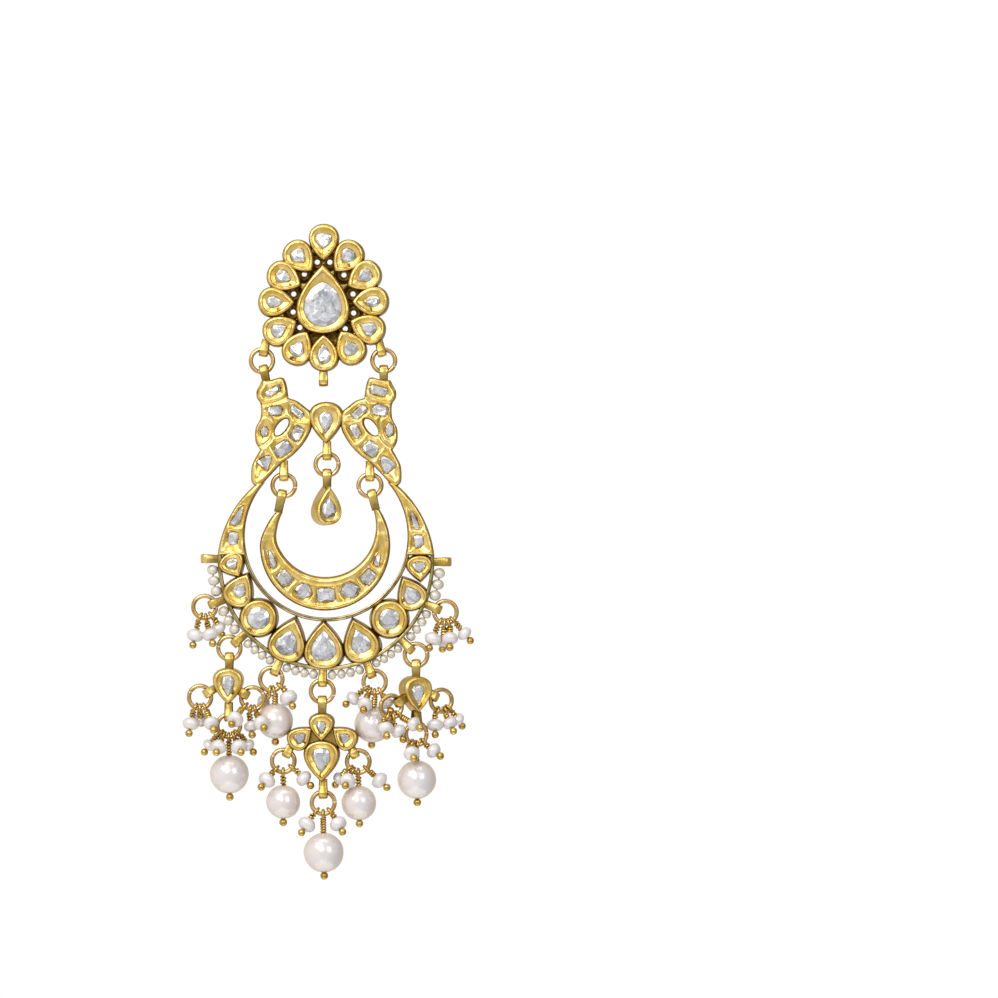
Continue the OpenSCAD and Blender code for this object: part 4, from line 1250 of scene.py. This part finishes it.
def pearl(work, at, direction, dia, seed, rows=22, sides=28, uneven=0.03, wide=1.0, tall=1.0):
    """A pearl that isn't quite round, with a dimple at each end of its bore."""
    rng = random.Random(seed)
    shift = Vector([rng.uniform(-50, 50) for _ in range(3)])
    bm = bmesh.new()
    bmesh.ops.create_uvsphere(bm, u_segments=sides, v_segments=rows, radius=1)
    for v in bm.verts:
        from_bore = math.hypot(v.co.x, v.co.y) * dia / 2
        sunk = DIMPLE * math.exp(-((from_bore - DIMPLE_R) / DIMPLE_SPREAD) ** 2)
        if from_bore < 0.01:
            sunk = POLE_SUNK
        v.co *= 1 + uneven * noise.noise(v.co * PEARL_WAVES + shift)
        v.co.z -= math.copysign(sunk / dia * 2, v.co.z)
    r = dia / 2
    height = tall * (1 - rng.uniform(0, uneven)) * r
    bmesh.ops.scale(bm, verts=bm.verts[:], vec=(wide * r, wide * r, height))
    bmesh.ops.transform(bm, verts=bm.verts[:], matrix=facing(at, direction))
    work.take(bm)


def ring_point(ring, offset):
    """A point right of, above and behind the middle of a ring."""
    return Vector((ring[0] + offset[0], HANG_Y + offset[2], ring[1] + offset[1]))


def cluster(pins, pearls, ring, rows, seed):
    """The small pearls of one ring, each on its pin."""
    for n, (angle, px, pz, py, dia) in enumerate(rows):
        at = ring_point(ring, (px, pz, py))
        head_pin(pins, ring, angle, at, dia * PEARL_TALL, seed + n)
        pearl(
            pearls, at, at - neck_at(ring, angle), dia, seed + 50 + n, uneven=0.07, wide=1.18,
            tall=PEARL_TALL,
        )


def big(pins, ring, row, seed):
    """A big pearl, as a piece of its own, on a pin that joins the other pins."""
    right, below, behind, dia, angle = row
    at = ring_point(ring, (right, -below, behind))
    head_pin(pins, ring, angle, at, dia, seed)
    made = Work()
    pearl(made, at, at - neck_at(ring, angle), dia, seed + 7, rows=40, sides=52, uneven=0.02)
    return made


# stud

# Here and below, a number from 31 to 900 in a call is the seed of a piece's unevenness
stud, stud_gems = Work(), Work()
for n, cell in enumerate(STUD_PETALS):
    line = setting(stud, cell, -PETAL_BACK, -STUD_D, 100 + n, flats=8, gem=PEAR)
    stone(stud_gems, line, -STUD_D, 130 + n, 7)

# By the distance from the middle of a hole or hollow: the plate's height, tone and painted shade
PLATE_RISE = ([0.45, 1.0, 1.5], [PLATE_T, 1.1, 2.2])
PLATE_TONE = ([0.7, 1.2], [1.0, 0.5])
PLATE_SHADE = ([0.6, 1.3], [0.85, 0.35])


def plate_inside(p):
    """The depth inside the stud's plate and outside its holes."""
    depth = PLATE_R - np.hypot(p[:, 0], p[:, 1])
    for hx, hz in PLATE_HOLES:
        depth = np.minimum(depth, np.hypot(p[:, 0] - hx, p[:, 1] - hz) - PLATE_HOLE / 2)
    return depth


def plate_shape(p, depth):
    """The plate's front, which rises between the holes, where the settings' feet hide it, with
    painted shade round the holes and hollows.
    """
    marks = PLATE_HOLES + PLATE_HOLLOWS
    away = np.min([np.hypot(p[:, 0] - hx, p[:, 1] - hz) for hx, hz in marks], axis=0)
    y = -np.interp(away, *PLATE_RISE)
    return y, np.interp(away, *PLATE_TONE), np.interp(away, *PLATE_SHADE)


relief(stud, plate_inside, plate_shape, PLATE_BOX, 0.0)
petal_lines = within(*[cell_line(cell) for cell in STUD_PETALS])
for ring, lean in zip(STUD_RINGS, OVER_LEAN):
    bail(stud, ring, 180 + lean, petal_lines)
bail(stud, SPARE_BAIL, 180, petal_lines)
centre_gem = Work()
crest = -STUD_D - CENTRE_RAISED
line = setting(stud, STUD_CENTRE, -PETAL_BACK, crest, 99, sides=120, flats=14, gem=EGG)
stone(centre_gem, line, crest, 98, 11)
build_gold("stud_metal", stud, "stud", "stud_frame")
build_stones("stud_petal_gems", stud_gems, "stud", "stud_petal_stones")
build_stones("stud_centre_gem", centre_gem, "stud", "stud_centre_stone")

# The post with its disc as half a section, out from its axis and back from the stud
POST = [
    (0, 0), (2, 0), (2, 0.4), (1.9, 0.42), (0.45, 0.42), (0.45, 8.6), (0.36, 8.75), (0.36, 9),
    (0.45, 9.15), (0.45, 10.75), (0.34, 10.95), (0.15, 11), (0, 11),
]
turning = bmesh.new()
for r, y in POST:
    turning.verts.new((r, y, 0))
turning.verts.ensure_lookup_table()
for k in range(len(POST) - 1):
    turning.edges.new((turning.verts[k], turning.verts[k + 1]))
spun(turning, (0, 1, 0), TAU, 48, use_merge=True)
bmesh.ops.remove_doubles(turning, verts=turning.verts[:], dist=0.001)
post = Work()
post.take(turning, tone=0.3, soil=0.05)
build("ear_post_turned", post, [burnished_gold], "stud", "ear_post")

# crescent frame

# The line of a let-in stone: its size against the tables, its points, its corners and its pull
# toward the straight chords between them
STONE_GROWN = 1.1
STONE_SIDES = 48
STONE_CORNERS = 6
STONE_CHORDS = 0.4


def stone_lines(rows, seed):
    """The outlines of stones that have no setting of their own."""
    rng = random.Random(seed)
    lines = []
    for x, z, tip, form, w, l in rows:
        line = placed(outline(w * STONE_GROWN, l * STONE_GROWN, form, STONE_SIDES), x, z, tip)
        corners = uneven_corners(rng, STONE_CORNERS, STONE_SIDES)
        lines.append([tuple(v) for v in chorded(line, corners, STONE_CHORDS)])
    return lines


# How a border rounds over at its outer edge: distance in from the edge, and drop below the crest
ROLL = ([0, 0.06, 0.15, 0.3, 0.45, 0.6], [0.48, 0.31, 0.17, 0.06, 0.01, 0.0])
# How a border slopes to its stones: share of the way from its crest to the stone, and drop
SLOPE = ([0, 0.08, 0.2, 0.3, 0.7, 1.0], [0.0, 0.03, 0.16, 0.22, 0.36, 0.48])
# How dull a border is by the distance from its edge, on the frame and on the inner crescent
EDGE_TONE = ([0, 0.1, 0.2, 0.32], [1.0, 0.8, 0.3, 0.0])
SMALL_EDGE_TONE = ([0, 0.12, 0.22, 0.36], [1.0, 0.8, 0.3, 0.0])
# Half the width of a bar between two stones, and beyond which distance no stone pulls a slope down.
# There the slope's fold follows this share of the way in from the border
BAR = 0.24
STONE_PULL = 2.2
FAR_SHARE = 0.3
# Painted shade in the line round a stone, which is this wide, and in a slope's fold, between these
# shares of the slope
LINE_W = 0.03
LINE_SHADE = 0.8
FOLD_FROM = 0.2
FOLD_TO = 0.3
FOLD_SHADE = 0.18
# The burnisher's dents fade over this distance to a plate's edge
DENTS_FADE = 0.3


def dented(p, edge):
    """The burnisher's dents on a plate."""
    return np.array([hammer(x, z) for x, z in p]) * np.clip(edge / DENTS_FADE, 0, 1)


def cells_shape(p, edge, lines, border, crest, bar=BAR):
    """Height of a border with stones let into it, and bars between neighbouring stones."""
    outside = np.stack([-depth_in(p, line) for line in lines], 1)
    order = np.sort(outside, axis=1)
    near = order[:, 0]
    past = np.maximum(edge - border, 0)
    reach = past
    if len(lines) > 1:
        reach = np.minimum(past, np.maximum((order[:, 1] - near) / 2 - bar, 0))
    reach = np.where(near > STONE_PULL, past * FAR_SHARE, reach)
    clear = np.maximum(near, 0)
    u = np.clip(reach / np.maximum(reach + clear, 1e-6), 0, 1)
    drop = np.interp(u, *SLOPE)
    fade = STONE_PULL / 2
    drop = np.where(clear > fade, drop * np.clip((STONE_PULL - clear) / fade, 0, 1), drop)
    drop = np.where(near < 0, POCKET, drop)
    fold = (u > FOLD_FROM) & (u < FOLD_TO)
    # Painted shade in the line round each stone and in the slope's fold
    soil = np.where(near < LINE_W, LINE_SHADE, np.where(fold, FOLD_SHADE, 0.0))
    y = crest + np.maximum(drop, np.interp(edge, *ROLL)) + dented(p, edge) * (near > 0.02)
    return y, np.interp(edge, *EDGE_TONE), soil


half = rounded(YOKE_HALF)
top_leaf, side_leaf = rounded(TOP_LEAF, 4, 80), rounded(SIDE_LEAF, 4, 180)
eye = placed(outline(YOKE_EYE[2], YOKE_EYE[3], OVAL, 60), YOKE_EYE[0], YOKE_EYE[1], YOKE_EYE[4])


def yoke_relief(work, right):
    """One curl of the yoke, with its two leaves."""
    lines = stone_lines(YOKE_RIGHT if right else YOKE_LEFT, 31 + right)

    def back_left(p):
        """Mirrors the points of the right curl to the left one."""
        return np.stack([2 * YOKE_AXIS - p[:, 0], p[:, 1]], 1) if right else p

    def inside(p):
        """The depth inside the curl and outside its eye."""
        q = back_left(p)
        return np.minimum(depth_in(q, half), -depth_in(q, eye))

    def shape(p, edge):
        """The curl and its two leaves, each with its own border, and dark joints between them."""
        q = back_left(p)
        top, side = depth_in(q, top_leaf), depth_in(q, side_leaf)
        in_top, in_side = top > 0, side > 0

        def pick(on_top, on_side, on_curl):
            """What holds on the top leaf, on the side leaf and on the curl."""
            return np.where(in_top, on_top, np.where(in_side, on_side, on_curl))

        curl_edge = np.minimum(edge, np.minimum(np.maximum(-top, 0), np.maximum(-side, 0)))
        own = pick(np.minimum(edge, top), np.minimum(edge, side), curl_edge)
        on_curl = cells_shape(p, own, lines[1:6], CURL_BORDER, FRONT)
        on_top = cells_shape(p, own, [lines[0]], TOP_BORDER, FRONT - TOP_RAISED)
        on_side = cells_shape(p, own, [lines[6]], SIDE_BORDER, FRONT + SIDE_SUNK)
        y, tone, soil = (pick(*three) for three in zip(on_top, on_side, on_curl))
        joint = (own < JOINT_W) & (edge > 0.3)
        return y, np.where(joint, 0.3, tone), np.where(joint, 0.3 - own * 1.5, soil)

    x0, z0, x1, z1, step = YOKE_BOX
    if right:
        x0, x1 = 2 * YOKE_AXIS - x1, 2 * YOKE_AXIS - x0
    relief(work, inside, shape, (x0, z0, x1, z1, step), BACK)
    return lines


crescent, yoke_gems, crescent_gems = Work(), Work(), Work()
for right in (False, True):
    for n, line in enumerate(yoke_relief(crescent, right)):
        stone(yoke_gems, line, FRONT + STONE_SUNK, 200 + n + 20 * right, 6)
line = setting(crescent, YOKE_PEAR, BACK + 0.06, FRONT - CELL_RAISED, 240, flats=8)
stone(yoke_gems, line, FRONT - CELL_RAISED, 241, 8)

arm_lines = stone_lines(ARM_STONES, 41)


def arms_inside(p):
    """The depth inside the two arms, above the round and pear settings."""
    depth = ARM_R - np.hypot(p[:, 0] - ARM_C[0], p[:, 1] - ARM_C[1])
    depth = np.minimum(depth, np.hypot(p[:, 0] - OPENING_C[0], p[:, 1] - OPENING_C[1]) - OPENING_R)
    return np.minimum(depth, np.minimum(ARM_TOP - p[:, 1], p[:, 1] - ARM_END))


def arms_shape(p, edge):
    """The arms' front, with their stones let in."""
    return cells_shape(p, edge, arm_lines, ARM_BORDER, FRONT)


for box in ARM_BOXES:
    relief(crescent, arms_inside, arms_shape, box, BACK)
for n, line in enumerate(arm_lines):
    stone(crescent_gems, line, FRONT + STONE_SUNK, 260 + n, 6)
for n, cell in enumerate(CRESCENT_CELLS):
    cell_back = BACK + 0.1 + 0.01 * (n % 2)
    line = setting(crescent, cell, cell_back, FRONT - CELL_RAISED, 300 + n, foot=0.2, wall=0.8)
    stone(crescent_gems, line, FRONT - CELL_RAISED, 320 + n, 8)


def rim(work, middle, r_in, r_out, back, front, groove, kind):
    """A thin band below the arms, with a shallow groove along its front."""
    reach = math.acos((middle[1] - ARM_END - BAND_HIDDEN) / ((r_in + r_out) / 2))
    # Share of the way out, y, tone and painted shade at the band's edges, its back and its groove
    section = [
        (0, back, 1.0, 0.5), (0, front + 0.18, 0.4, 0.2), (0.1, front + 0.05, 0.0, 0.0),
        (0.25, front, 0.0, 0.0), (0.4, front + groove, 0.3, 0.35), (0.55, front - 0.02, 0.0, 0.0),
        (0.85, front + 0.06, 0.1, 0.0), (1, front + 0.2, 0.6, 0.2), (1, back, 1.0, 0.5),
    ]
    shares, depths, tones, soils = zip(*section)
    w = r_out - r_in
    bm = section_face([(0, y, -r_in - w * s) for s, y in zip(shares, depths)], tones, soils)
    work.take(swung(bm, middle, -reach, reach, 120), kind=kind)


# The outer band is drawn with the darker copy of the gold, painted with the settings' shade
rim(
    crescent, RIM_C, RIM_R - RIM_W, RIM_R, back=BACK - 0.1, front=FRONT + 0.5, groove=0.0, kind=3,
)
rim(
    crescent, OPENING_C, OPENING_R, OPENING_R + RIM_W, back=BACK - 0.2, front=FRONT + 0.6,
    groove=0.15, kind=2,
)
yoke_line = within(half, [(2 * YOKE_AXIS - x, z) for x, z in half], cell_line(YOKE_PEAR))
for ring, lean in zip(STUD_RINGS, UNDER_LEAN):
    bail(crescent, ring, lean, yoke_line)
bail(crescent, CENTRE_RING, 180, yoke_line)
for ring in INNER_RINGS:
    bail(crescent, ring, 180, yoke_line, INNER_BAIL_L)


def rim_ring(a):
    """The middle of a ring that hangs from the rim, at an angle from straight down."""
    t = math.radians(a)
    return (RIM_C[0] + RIM_RING_AT * math.sin(t), RIM_C[1] - RIM_RING_AT * math.cos(t))


rim_line = within(circle(RIM_C, RIM_R))
for a in RIM_BAILS + STRING_ENDS:
    bail(crescent, rim_ring(a), 180 - a, rim_line)
build(
    "crescent_metal", crescent, [burnished_gold, filed_gold, rubbed_gold, shaded_gold],
    "main_drop", "crescent_frame",
)
build_stones("yoke_gems", yoke_gems, "main_drop", "yoke_stones")
build_stones("crescent_gems", crescent_gems, "main_drop", "crescent_stones")

# seed pearls of the rim

seeds = Work()
stops = [STRING_ENDS[0]] + RIM_BAILS + [STRING_ENDS[1]]
for n, count in enumerate(SEEDS_BETWEEN):
    begin, end = stops[n], stops[n + 1]
    step = (end - begin) / (count + 1)
    r = (RIM_R + SEED_CLEAR) * math.sin(math.radians(step) / 2) * SEED_FILL
    reach = RIM_R + SEED_CLEAR + r
    for i in range(1, count + 1):
        a = math.radians(begin + i * step)
        spot = Vector((RIM_C[0] + reach * math.sin(a), HANG_Y, RIM_C[1] - reach * math.cos(a)))
        along = Vector((math.cos(a), 0, math.sin(a)))
        pearl(
            seeds, spot, along, 2 * r, 500 + 10 * n + i, rows=16, sides=20, uneven=0.08,
            wide=1.14, tall=1.12,
        )
    string = bmesh.new()
    low = Matrix.Translation((0, HANG_Y, -reach)) @ Matrix.Rotation(math.pi / 2, 4, "Y")
    bmesh.ops.create_circle(string, cap_ends=True, segments=8, radius=SEED_WIRE / 2, matrix=low)
    ends = [math.radians(a) for a in (begin + SEED_END * step, end - SEED_END * step)]
    seeds.take(swung(string, RIM_C, *ends, 4 * (count + 1)), kind=1)
build(
    "rim_seed_pearls", seeds, [seed_nacre, drawn_gold], "main_drop", "rim_pearls",
    PEARL_CRISP,
)

# inner crescent and centre drop

inner, inner_gems = Work(), Work()
small_lines = stone_lines(SMALL_CELLS, 51)

# The borders of the inner crescent, inner and outer: width as a share of the crescent's, least
# width, greatest width, and the height of their round swell
INNER_BORDER = (0.3, 0.2, 1.5)
OUTER_BORDER = (0.2, 0.2, 0.85)
INNER_SWELL = 0.24
OUTER_SWELL = 0.1
# The inner swell is full where its border is this wide, and this power flattens it
SWELL_FULL = 1.2
SWELL_FLAT = 0.8
# Its channel of stones: the lip round it, half the width of its bars, and the dark line of painted
# shade along its edges with its strength. Its borders have this share of the frame's dents
CHANNEL_LIP = 0.5
SMALL_BAR = 0.3
CHANNEL_LINE = 0.06
CHANNEL_SHADE = 0.35
SMALL_DENTS = 0.7


def small_flat(p):
    """Where the points of the bent left horn lie before the bend, which grows over its foot."""
    dx, dz = p[:, 0] - HORN_PIVOT[0], p[:, 1] - HORN_PIVOT[1]
    up = np.clip(dz / HORN_FOOT + HORN_EARLY, 0, 1)
    turn = np.where(p[:, 0] < 0, math.radians(HORN_BEND) * up * up * (3 - 2 * up), 0)
    c, s = np.cos(turn), np.sin(turn)
    return np.stack([HORN_PIVOT[0] + dx * c - dz * s, HORN_PIVOT[1] + dx * s + dz * c], 1)


def small_edges(p):
    """Distances from the outer and the inner edge of the small crescent."""
    q = small_flat(p)
    out = SMALL_R - np.hypot(q[:, 0] - SMALL_C[0], q[:, 1] - SMALL_C[1])
    near = np.hypot(q[:, 0] - SMALL_OPENING_C[0], q[:, 1] - SMALL_OPENING_C[1]) - SMALL_OPENING_R
    return out, near, HORN_TOP - q[:, 1]


def small_inside(p):
    """The depth inside the small crescent."""
    return np.minimum.reduce(small_edges(p))


def small_shape(p, edge):
    """A channel of stones between a round inner border and a narrow outer one."""
    out, near, _ = small_edges(p)
    total = out + near
    inner_border = np.clip(total * INNER_BORDER[0], *INNER_BORDER[1:])
    outer_border = np.clip(total * OUTER_BORDER[0], *OUTER_BORDER[1:])
    channel = np.minimum(out - outer_border, near - inner_border)
    front = HANG_Y - SMALL_D / 2
    from_lip = np.maximum(channel, 0) + CHANNEL_LIP
    y, _, soil = cells_shape(p, from_lip, small_lines, CHANNEL_LIP, front, SMALL_BAR)
    share = np.clip(near / inner_border, 0, 1)
    swell = INNER_SWELL * np.sin(math.pi * share) ** SWELL_FLAT
    bulge = swell * (near < out) * np.clip(inner_border / SWELL_FULL, 0.2, 1)
    outer_share = np.clip(out / outer_border, 0, 1)
    bulge += OUTER_SWELL * np.sin(math.pi * outer_share) * (out < near)
    rim_y = front + np.interp(edge, *ROLL) - bulge + dented(p, edge) * SMALL_DENTS
    y = np.where(channel > 0, y, rim_y)
    tone = np.interp(edge, *SMALL_EDGE_TONE)
    soil = np.where(channel > 0, soil, 0.0)
    # Painted shade in a dark line along the channel's edges
    return y, tone, np.where(np.abs(channel) < CHANNEL_LINE, CHANNEL_SHADE, soil)


relief(inner, small_inside, small_shape, SMALL_BOX, HANG_Y + SMALL_D / 2)
for n, line in enumerate(small_lines):
    stone(inner_gems, line, HANG_Y - SMALL_D / 2 + STONE_SUNK, 400 + n, 6)
for ring, lean in zip(INNER_RINGS, HORN_LEAN):
    bail(inner, ring, lean, small_inside)
build_gold("inner_crescent_metal", inner, "inner_crescent", "inner_crescent")
build_stones("inner_crescent_gems", inner_gems, "inner_crescent", "inner_crescent_stones")

centre, centre_gems = Work(), Work()
line = setting(centre, CENTRE_DROP, BACK, FRONT, 430, flats=7, wall=0.3)
stone(centre_gems, line, FRONT, 431, 6)
centre.turn(CENTRE_DROP[0])
centre_gems.turn(CENTRE_DROP[0])
bail(centre, CENTRE_RING, 0, within(cell_line(CENTRE_DROP)))
build_gold("centre_drop_metal", centre, "main_drop", "centre_drop")
build_stones("centre_drop_gem", centre_gems, "main_drop", "centre_drop_stone")

# side drops and trefoil

drop_gems = Work()
for name, cell, rings, above, seed in (
    ("side_drop_left", LEFT_DROP, LEFT_DROP_RINGS, rim_ring(RIM_BAILS[1]), 440),
    ("side_drop_right", RIGHT_DROP, RIGHT_DROP_RINGS, rim_ring(RIM_BAILS[5]), 450),
):
    drop = Work()
    since = len(drop_gems.points)
    line = setting(drop, cell, BACK, FRONT, seed, flats=7, wall=0.4)
    stone(drop_gems, line, FRONT, seed + 1, 7)
    edge = within(cell_line(cell))
    bail(drop, rings[0], -SIDE_BAIL_TURN, edge)
    bail(drop, rings[1], SIDE_BAIL_TURN, edge)
    bail(drop, rings[2], 180, edge)
    if name == "side_drop_right":
        drop.turn(cell[0])
        drop_gems.turn(cell[0], since)
    bail(drop, above, 0, edge)
    build_gold(name + "_metal", drop, "main_drop", name)
build_stones("side_drop_gems", drop_gems, "main_drop", "side_drop_stones")

trefoil, trefoil_gems = Work(), Work()
for n, cell in enumerate(TREFOIL_CELLS):
    line = setting(trefoil, cell, BACK + 0.02 * n, FRONT, 460 + n, flats=7)
    stone(trefoil_gems, line, FRONT, 470 + n, 7)


def web_inside(p):
    """The depth inside the round web that joins the trefoil's settings."""
    return TREFOIL_WEB_R - np.hypot(p[:, 0] - TREFOIL_WEB[0], p[:, 1] - TREFOIL_WEB[1])


def web_shape(p, depth):
    """The web's flat front, in the dull gold of a wall and darkened with painted shade, as it lies
    behind the settings.
    """
    return np.full(len(p), BACK - TREFOIL_WEB_T), np.full(len(p), 0.4), np.full(len(p), 0.4)


relief(trefoil, web_inside, web_shape, WEB_BOX, BACK - 0.02)
leaves = within(*[cell_line(cell) for cell in TREFOIL_CELLS])
bail(trefoil, rim_ring(RIM_BAILS[3]), 0, leaves)
bail(trefoil, TREFOIL_RINGS[0], -TREFOIL_BAIL_TURN, leaves)
bail(trefoil, TREFOIL_RINGS[1], TREFOIL_BAIL_TURN, leaves)
bail(trefoil, TREFOIL_RINGS[2], 180, leaves)
build_gold("trefoil_metal", trefoil, "main_drop", "trefoil")
build_stones("trefoil_gems", trefoil_gems, "main_drop", "trefoil_stones")

# jump rings

# Node, middle and the cut's place in degrees
RINGS = [
    ("stud_ring_left", STUD_RINGS[0], 200), ("stud_ring_right", STUD_RINGS[1], 118),
    ("inner_ring_left", INNER_RINGS[0], 100), ("inner_ring_right", INNER_RINGS[1], 250),
    ("centre_drop_ring", CENTRE_RING, 80),
]
RIM_SIDES = ("left_3", "left_2", "left_1", "centre", "right_1", "right_2", "right_3")
for side, a, cut in zip(RIM_SIDES, RIM_BAILS, (95, 280, 70, 110, 250, 75, 265)):
    RINGS.append(("rim_ring_" + side, rim_ring(a), cut))
for group, spots in (
    ("left_drop_ring_", LEFT_DROP_RINGS), ("right_drop_ring_", RIGHT_DROP_RINGS),
    ("trefoil_ring_", TREFOIL_RINGS),
):
    for letter, spot, cut in zip("abc", spots, (300, 60, 85)):
        RINGS.append((group + letter, spot, cut))
for n, (node, spot, cut) in enumerate(RINGS):
    made = Work()
    jump_ring(made, spot, cut, 600 + n)
    if node.startswith("right_drop"):
        made.turn(RIGHT_DROP[0])
    rides = "inner_crescent" if node.startswith("inner_ring") else "main_drop"
    build(node + "_wire", made, [drawn_gold], rides, node, WIRE_CRISP)

# pearls on their pins

# Each group: name, its rings with their small pearls, and the ends of its big pearls' names with
# their rings and rows
LEFT_1, RIGHT_1 = rim_ring(RIM_BAILS[2]), rim_ring(RIM_BAILS[4])
GROUPS = [
    ("left_3", [(rim_ring(RIM_BAILS[0]), CLUSTER_LEFT_3)], []),
    ("right_3", [(rim_ring(RIM_BAILS[6]), CLUSTER_RIGHT_3)], []),
    ("left_1", [(LEFT_1, CLUSTER_LEFT_1)], [("left_1", LEFT_1, BIG_LEFT_1)]),
    ("right_1", [(RIGHT_1, CLUSTER_RIGHT_1)], [("right_1", RIGHT_1, BIG_RIGHT_1)]),
    (
        "left_drop", list(zip(LEFT_DROP_RINGS, CLUSTERS_LEFT_DROP)),
        [("left_drop", LEFT_DROP_RINGS[2], BIG_LEFT_DROP)],
    ),
    (
        "right_drop", list(zip(RIGHT_DROP_RINGS, CLUSTERS_RIGHT_DROP)),
        [("right_drop", RIGHT_DROP_RINGS[2], BIG_RIGHT_DROP)],
    ),
    (
        "trefoil", list(zip(TREFOIL_RINGS, CLUSTERS_TREFOIL)),
        list(zip(("trefoil_a", "trefoil_b", "trefoil_c"), TREFOIL_RINGS, BIG_TREFOIL)),
    ),
]
seed = 760
for name, groups, big_rows in GROUPS:
    pins, pearls, bigs = Work(), Work(), []
    for n, (ring, rows) in enumerate(groups):
        cluster(pins, pearls, ring, rows, 700 + 20 * n)
    for end, ring, row in big_rows:
        bigs.append(("big_pearl_" + end, big(pins, ring, row, seed)))
        seed += 10
    if name == "right_drop":
        for work in [pins, pearls] + [made for _, made in bigs]:
            work.turn(RIGHT_DROP[0])
    build(
        "pins_" + name + "_wire", pins, [wound_gold], "main_drop", "pins_" + name,
        WIRE_CRISP,
    )
    build(
        "pearls_" + name + "_nacre", pearls, [small_nacre], "main_drop",
        "pearls_" + name, PEARL_CRISP,
    )
    for node, made in bigs:
        build(node + "_nacre", made, [big_nacre], "main_drop", node, PEARL_CRISP)

# floor

# Matt white board that the studio's light bleaches
board, tree, place = material("white_board")
fibres = add(tree, "ShaderNodeTexNoise", {
    "Vector": place, "Scale": 1 / (40 * MM), "Detail": 3.0, "Roughness": 0.55,
})
paper = add(tree, "ShaderNodeMix", {0: fibres, 6: "#FAFAFA", 7: "#F6F6F6"}, data_type="RGBA")
shader = add(tree, "ShaderNodeBsdfPrincipled", {
    "Base Color": paper, "Roughness": 0.8, "Emission Color": "#FFFFFF", "Emission Strength": 0.4,
})
add(tree, "ShaderNodeOutputMaterial", {"Surface": shader})
floor_mesh = bpy.data.meshes.new("floor")
bm = bmesh.new()
low = Matrix.Translation((0, 0, FLOOR_Z * MM))
bmesh.ops.create_circle(bm, cap_ends=True, radius=FLOOR_R * MM, segments=96, matrix=low)
bm.to_mesh(floor_mesh)
bm.free()
floor_mesh.materials.append(board)
floor = bpy.data.objects.new("floor", floor_mesh)
scene.collection.objects.link(floor)
